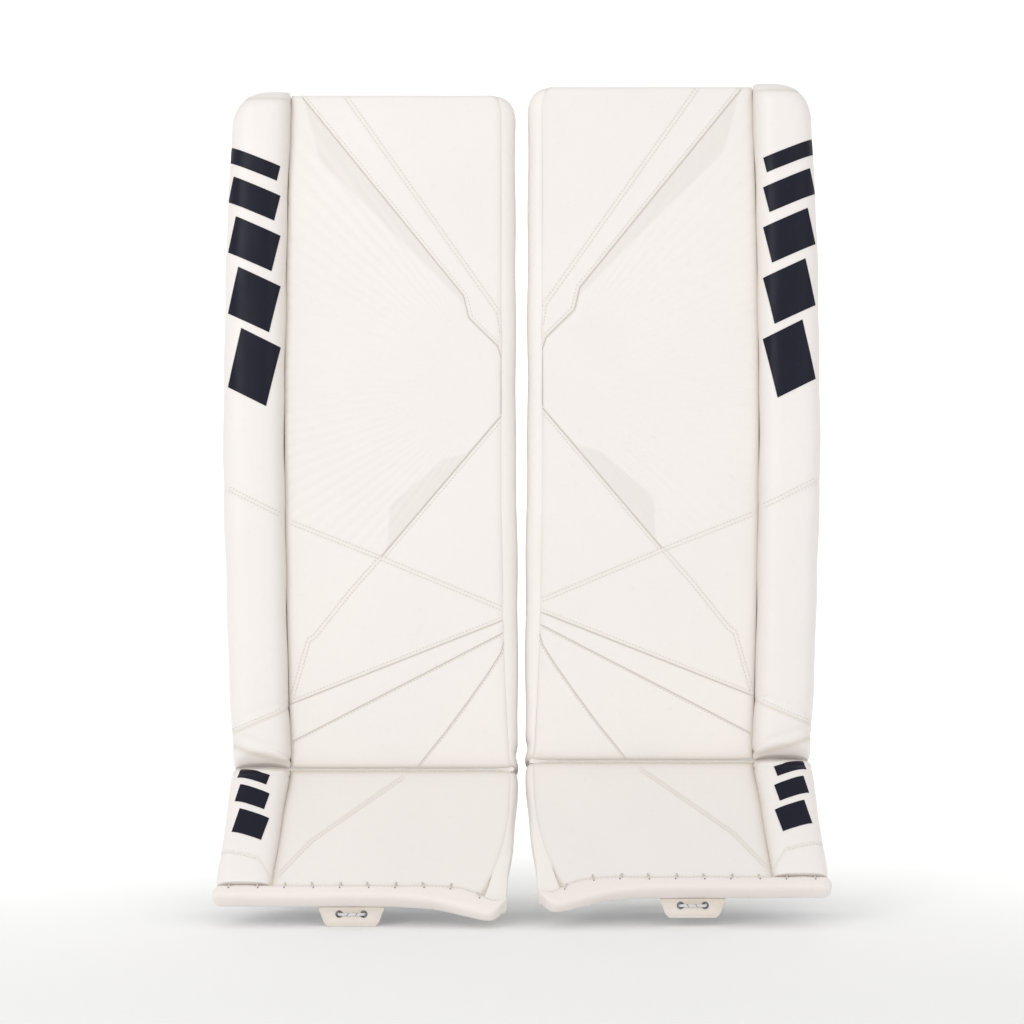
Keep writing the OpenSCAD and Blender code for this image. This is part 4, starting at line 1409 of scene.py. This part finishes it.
def build_strap(name, body, a0, bend, straight, z, width=44.0):
    path, normals = strap_route(a0, bend, straight, z)
    add(name, webbing(path, normals, UP, width, STRAP_T), WEBBING, body, True)
    steps, _ = resampled(path)

    def outer(s, h):
        """s along the strap, h across it."""
        p, n = (np.stack([np.interp(s, steps, q[:, k]) for k in range(3)], -1) for q in (path, normals))
        return p + n * 1.35 + UP * h[:, None]

    total, half = steps[-1], width / 2
    rows = [((2, side * (half - 3.5)), (total - 4, side * (half - 3.5))) for side in (1, -1)]
    square = [(total - 34, 6 - half), (total - 6, 6 - half), (total - 6, half - 6), (total - 34, half - 6)]
    rows += [(square[i], square[(i + 1) % 4]) for i in range(4)]
    rows += [(square[0], square[2]), (square[1], square[3])]
    threads = []
    for row in np.array(rows, float):
        length = np.hypot(*(row[1] - row[0]))
        for start in np.arange(1.5, length - 2.4, 3.2):
            q = row[0] + (row[1] - row[0]) * (np.linspace(start, start + 2.2, 4) / length)[:, None]
            threads.append(tube(outer(q[:, 0], q[:, 1]), 0.34 * np.array([0.6, 1, 1, 0.6]), 5))
    add(f"{name}_stitching", join(threads), THREAD, body)
    end = slice(-22, -2)
    tape = webbing(path[end] - normals[end] * 1.9, normals[end], UP, width - 9, 1.1)
    add(f"{name}_hook_tape", tape, HOOKS, body)


def build_straps():
    build_wing("calf_wing", "calf_wing_body", 118, 190, 420, (248, 305, 362))
    build_wing("knee_wing", "knee_wing_body", 128, 455, 565, (483, 537))
    build_strap("calf_strap", "calf_strap_body", 118, 65, 104, 305)
    build_strap("knee_strap", "knee_strap_body", 128, 50, 99, 510)

    a = np.radians(np.linspace(2, 178, 61))
    path = boot_to_pad(xyz(59.5 * np.cos(a), BOOT_T + 6 + 59.5 * np.sin(a), FITTING_S))
    normals, across = boot_way(xyz(np.cos(a), np.sin(a), 0.0)), boot_way([0, 0, 1])
    strap = webbing(path, normals, across, 25.0, STRAP_T)
    add("boot_strap", strap, WEBBING, "boot_strap_body", True)
    rows = []
    for h in (-9.5, 9.5):
        line = path + normals * 1.3 + across * h
        for at, nxt in zip(line[2:58], line[3:59]):
            rows.append(tube([at + (nxt - at) * k for k in (0.1, 0.3, 0.6, 0.8)], 0.3, 5))
    add("boot_strap_stitching", join(rows), THREAD, "boot_strap_body")


def build_hardware():
    rivet = [(0.1, 2.3), (2.0, 2.2), (3.4, 1.6), (4.1, 0.6), (4.2, 0.0), (4.1, -0.4)]
    parts = [lathe(rivet, (-112, 53.3, z), (0, 1, 0), 28) for z in (215, 305, 395, 475, 545)]
    ring = [(11.5 + 2.4 * math.cos(a), 2.0 * math.sin(a)) for a in np.linspace(0, 2 * np.pi, 17)]
    for y, z in ((120, 305), (96, 508)):
        verts, faces = lathe(ring, (120.3, y, z), (1, 0, 0), 48)
        parts.append((verts, faces[:-2]))
        parts.append(tube([(118.9, y - 14.4 + d, z) for d in np.linspace(0, 6, 5)], 2.0, 12))
    add("strap_hardware", join(parts), PLASTIC, "shin", True)

    outer = rounded_outline([(-9, -15), (9, -15), (9, 15), (-9, 15)], 3.5)
    inner = rounded_outline([(-3, -10), (3, -10), (3, 10), (-3, 10)], 1.2)
    rings = []
    for side in (-1, 1):
        profile = []
        for o, i in zip(np.array(outer), np.array(inner)):
            way = (i - o) / np.linalg.norm(i - o) * 0.9
            loop = [(o, -0.9), (o + way, -1.6), (i - way, -1.6), (i, -0.9), (i, 0.9), (i - way, 1.6),
                    (o + way, 1.6), (o, 0.9)]
            profile.append([(q[0] + side * 65, BOOT_T + 0.6 + h, q[1] + FITTING_S) for q, h in loop])
        rings.append(loft(boot_to_pad(np.array(profile + profile[:1])), "open", "open"))
    add("boot_ring", join(rings), PLASTIC, "boot", True)


def build_back_panel():
    z = BREAK_Z + end_stations(PANEL_TOP - BREAK_Z, 5.0, 4.0)

    def span(s):
        outer = np.minimum(roll_outer(s + 6) + 2.6, -131.0 + 17 * top_corner(s + 8))
        return outer, inner_edge(s + 6) - 1.8

    def rear(x, s):
        x0, x1 = span(s)
        rim = np.minimum(np.minimum(x - x0, x1 - x), np.minimum(s - BREAK_Z, PANEL_TOP - s) + 0.3)
        ribs = 0.5 * bump(np.abs(s - 440) - 6, 1.4) + 0.5 * bump(np.abs(s - 580) - 3, 1.4)
        return 53.3 - 2.0 * fade(rim, 2.2) - ribs + 0.12 * np.sin(x / 19) * np.sin(s / 23)

    shape = panel(z, span, rear, lambda x, s: 50.0, 110, 12, shin_from)
    add("back_panel", shape, BACKING, "shin", True)
    skin = Skin(shape)
    h = np.linspace(129, 775.5, 150)
    x0, x1 = span(np.maximum(h, BREAK_Z))
    rim = [(a + 0.8, 52.4, b) for a, b in zip(x0, h)] + [(a, 52.4, 775.5) for a in np.linspace(-100, 112, 50)]
    rim += [(a - 0.8, 52.4, b) for a, b in zip(x1[::-1], h[::-1])]
    rim += [(a, 52.4, 127) for a in np.linspace(134, -124, 60)]
    add("back_piping", piping(rim, skin, 1.3, out=-0.4), BINDING, "shin")
    loop = rounded_outline([(-121, 140), (130, 140), (130, 766), (112, 770), (-100, 770), (-121, 745)], 8)
    rows = stitch_row(loop + loop[:1], lambda x, h: skin.along(xyz(x, 120.0, h), (0, -1, 0)) + [0, 0.2, 0],
                      4.2, 3.0, 0.36)
    add("back_stitching", join(rows), THREAD, "shin")


def build_gusset():
    """Soft fill in the crease."""
    x = end_stations(264, 6.0, 6.0) - 125.5
    y = np.linspace(3.2, 48.5, 12)
    rings = []
    for t, end in zip(x, round_ends(x - x[0], 264, 6.0)):
        gap = 2.6 + 0.6 * np.sin(t / 9.0)
        up = BREAK_Z - 0.9 - (y - 4.5) * 0.30 + gap * end + 0.08 * (y - 4.5)
        low = BREAK_Z - 0.9 - (y - 4.5) * 0.62 - gap * end
        rings.append(np.concatenate([xyz(t, y, up), xyz(t, y[::-1], low[::-1])]))
    add("flex_gusset", loft(np.array(rings)), WALL, "boot",
        bend=((0, 20, BREAK_Z + 8), (0, 20, BREAK_Z - 22)))


build_cushions()
build_straps()
build_hardware()
build_back_panel()
build_gusset()


# ---------- CAD nodes that stay: foam bodies and the stiffener ----------

for side in ("right", "left"):
    for node, material in (("shin_core", FOAM), ("boot_core", FOAM), ("stiffener_sheet", SHEET)):
        carried = frame["nodes"][f"{side}_{node}"]
        carried.data.materials.clear()
        carried.data.materials.append(material)


# ---------- camera, light and floor ----------

VIEW_DISTANCE = 2.6
VIEW_SPAN = 0.978
CAMERA_X, CAMERA_Z = -0.0093, 0.3825
WORLD_LIGHT = 0.76
LAMPS = [("key", (-1.6, -2.6, 1.2), 21, 1.2, (0, 0, 0.4)), ("fill", (1.8, -2.6, 0.7), 8, 2.0, (0, 0, 0.4)),
         ("wall", (0.0, 1.3, 2.8), 75, 3.0, (0, 4.2, 0.9))]
COVE_Y, COVE_R = 2.6, 1.6


def build_stage():
    scene = bpy.context.scene
    camera = bpy.data.objects.new("camera", bpy.data.cameras.new("camera"))
    scene.collection.objects.link(camera)
    camera.location = (CAMERA_X, FLEX["right"][1] - VIEW_DISTANCE, CAMERA_Z)
    camera.rotation_euler = (math.radians(90), 0, 0)
    camera.data.sensor_width = 36
    camera.data.lens = 36 * VIEW_DISTANCE / VIEW_SPAN
    scene.camera = camera
    scene.view_settings.view_transform = "Standard"

    scene.world = bpy.data.worlds.new("studio")
    scene.world.use_nodes = True
    sky = scene.world.node_tree.nodes["Background"]
    sky.inputs["Color"].default_value = (1.0, 1.0, 1.0, 1)
    sky.inputs["Strength"].default_value = WORLD_LIGHT
    for name, stands, energy, size, aim in LAMPS:
        lamp = bpy.data.lights.new(name, "AREA")
        lamp.energy, lamp.size = energy, size
        obj = bpy.data.objects.new(name, lamp)
        obj.location = stands
        obj.rotation_euler = (Vector(aim) - Vector(stands)).to_track_quat("-Z", "Y").to_euler()
        scene.collection.objects.link(obj)

    profile = [(-8.0, 0.0), (COVE_Y, 0.0)]
    for a in np.linspace(0, np.pi / 2, 14)[1:]:
        profile.append((COVE_Y + COVE_R * math.sin(a), COVE_R - COVE_R * math.cos(a)))
    profile.append((COVE_Y + COVE_R, 9.0))
    n = len(profile)
    mesh = bpy.data.meshes.new("floor")
    mesh.from_pydata([(x, y, z) for x in (-9.0, 9.0) for y, z in profile], [],
                     [[i, i + 1, n + i + 1, n + i] for i in range(n - 1)])
    mesh.shade_smooth()
    floor = bpy.data.objects.new("floor", mesh)
    scene.collection.objects.link(floor)
    pale = Surface("floor_paint", Roughness=0.9, Specular_IOR_Level=0.1)
    pale.feed(pale.shader.inputs["Base Color"], (0.96, 0.96, 0.955, 1))
    mesh.materials.append(pale.material)


build_stage()
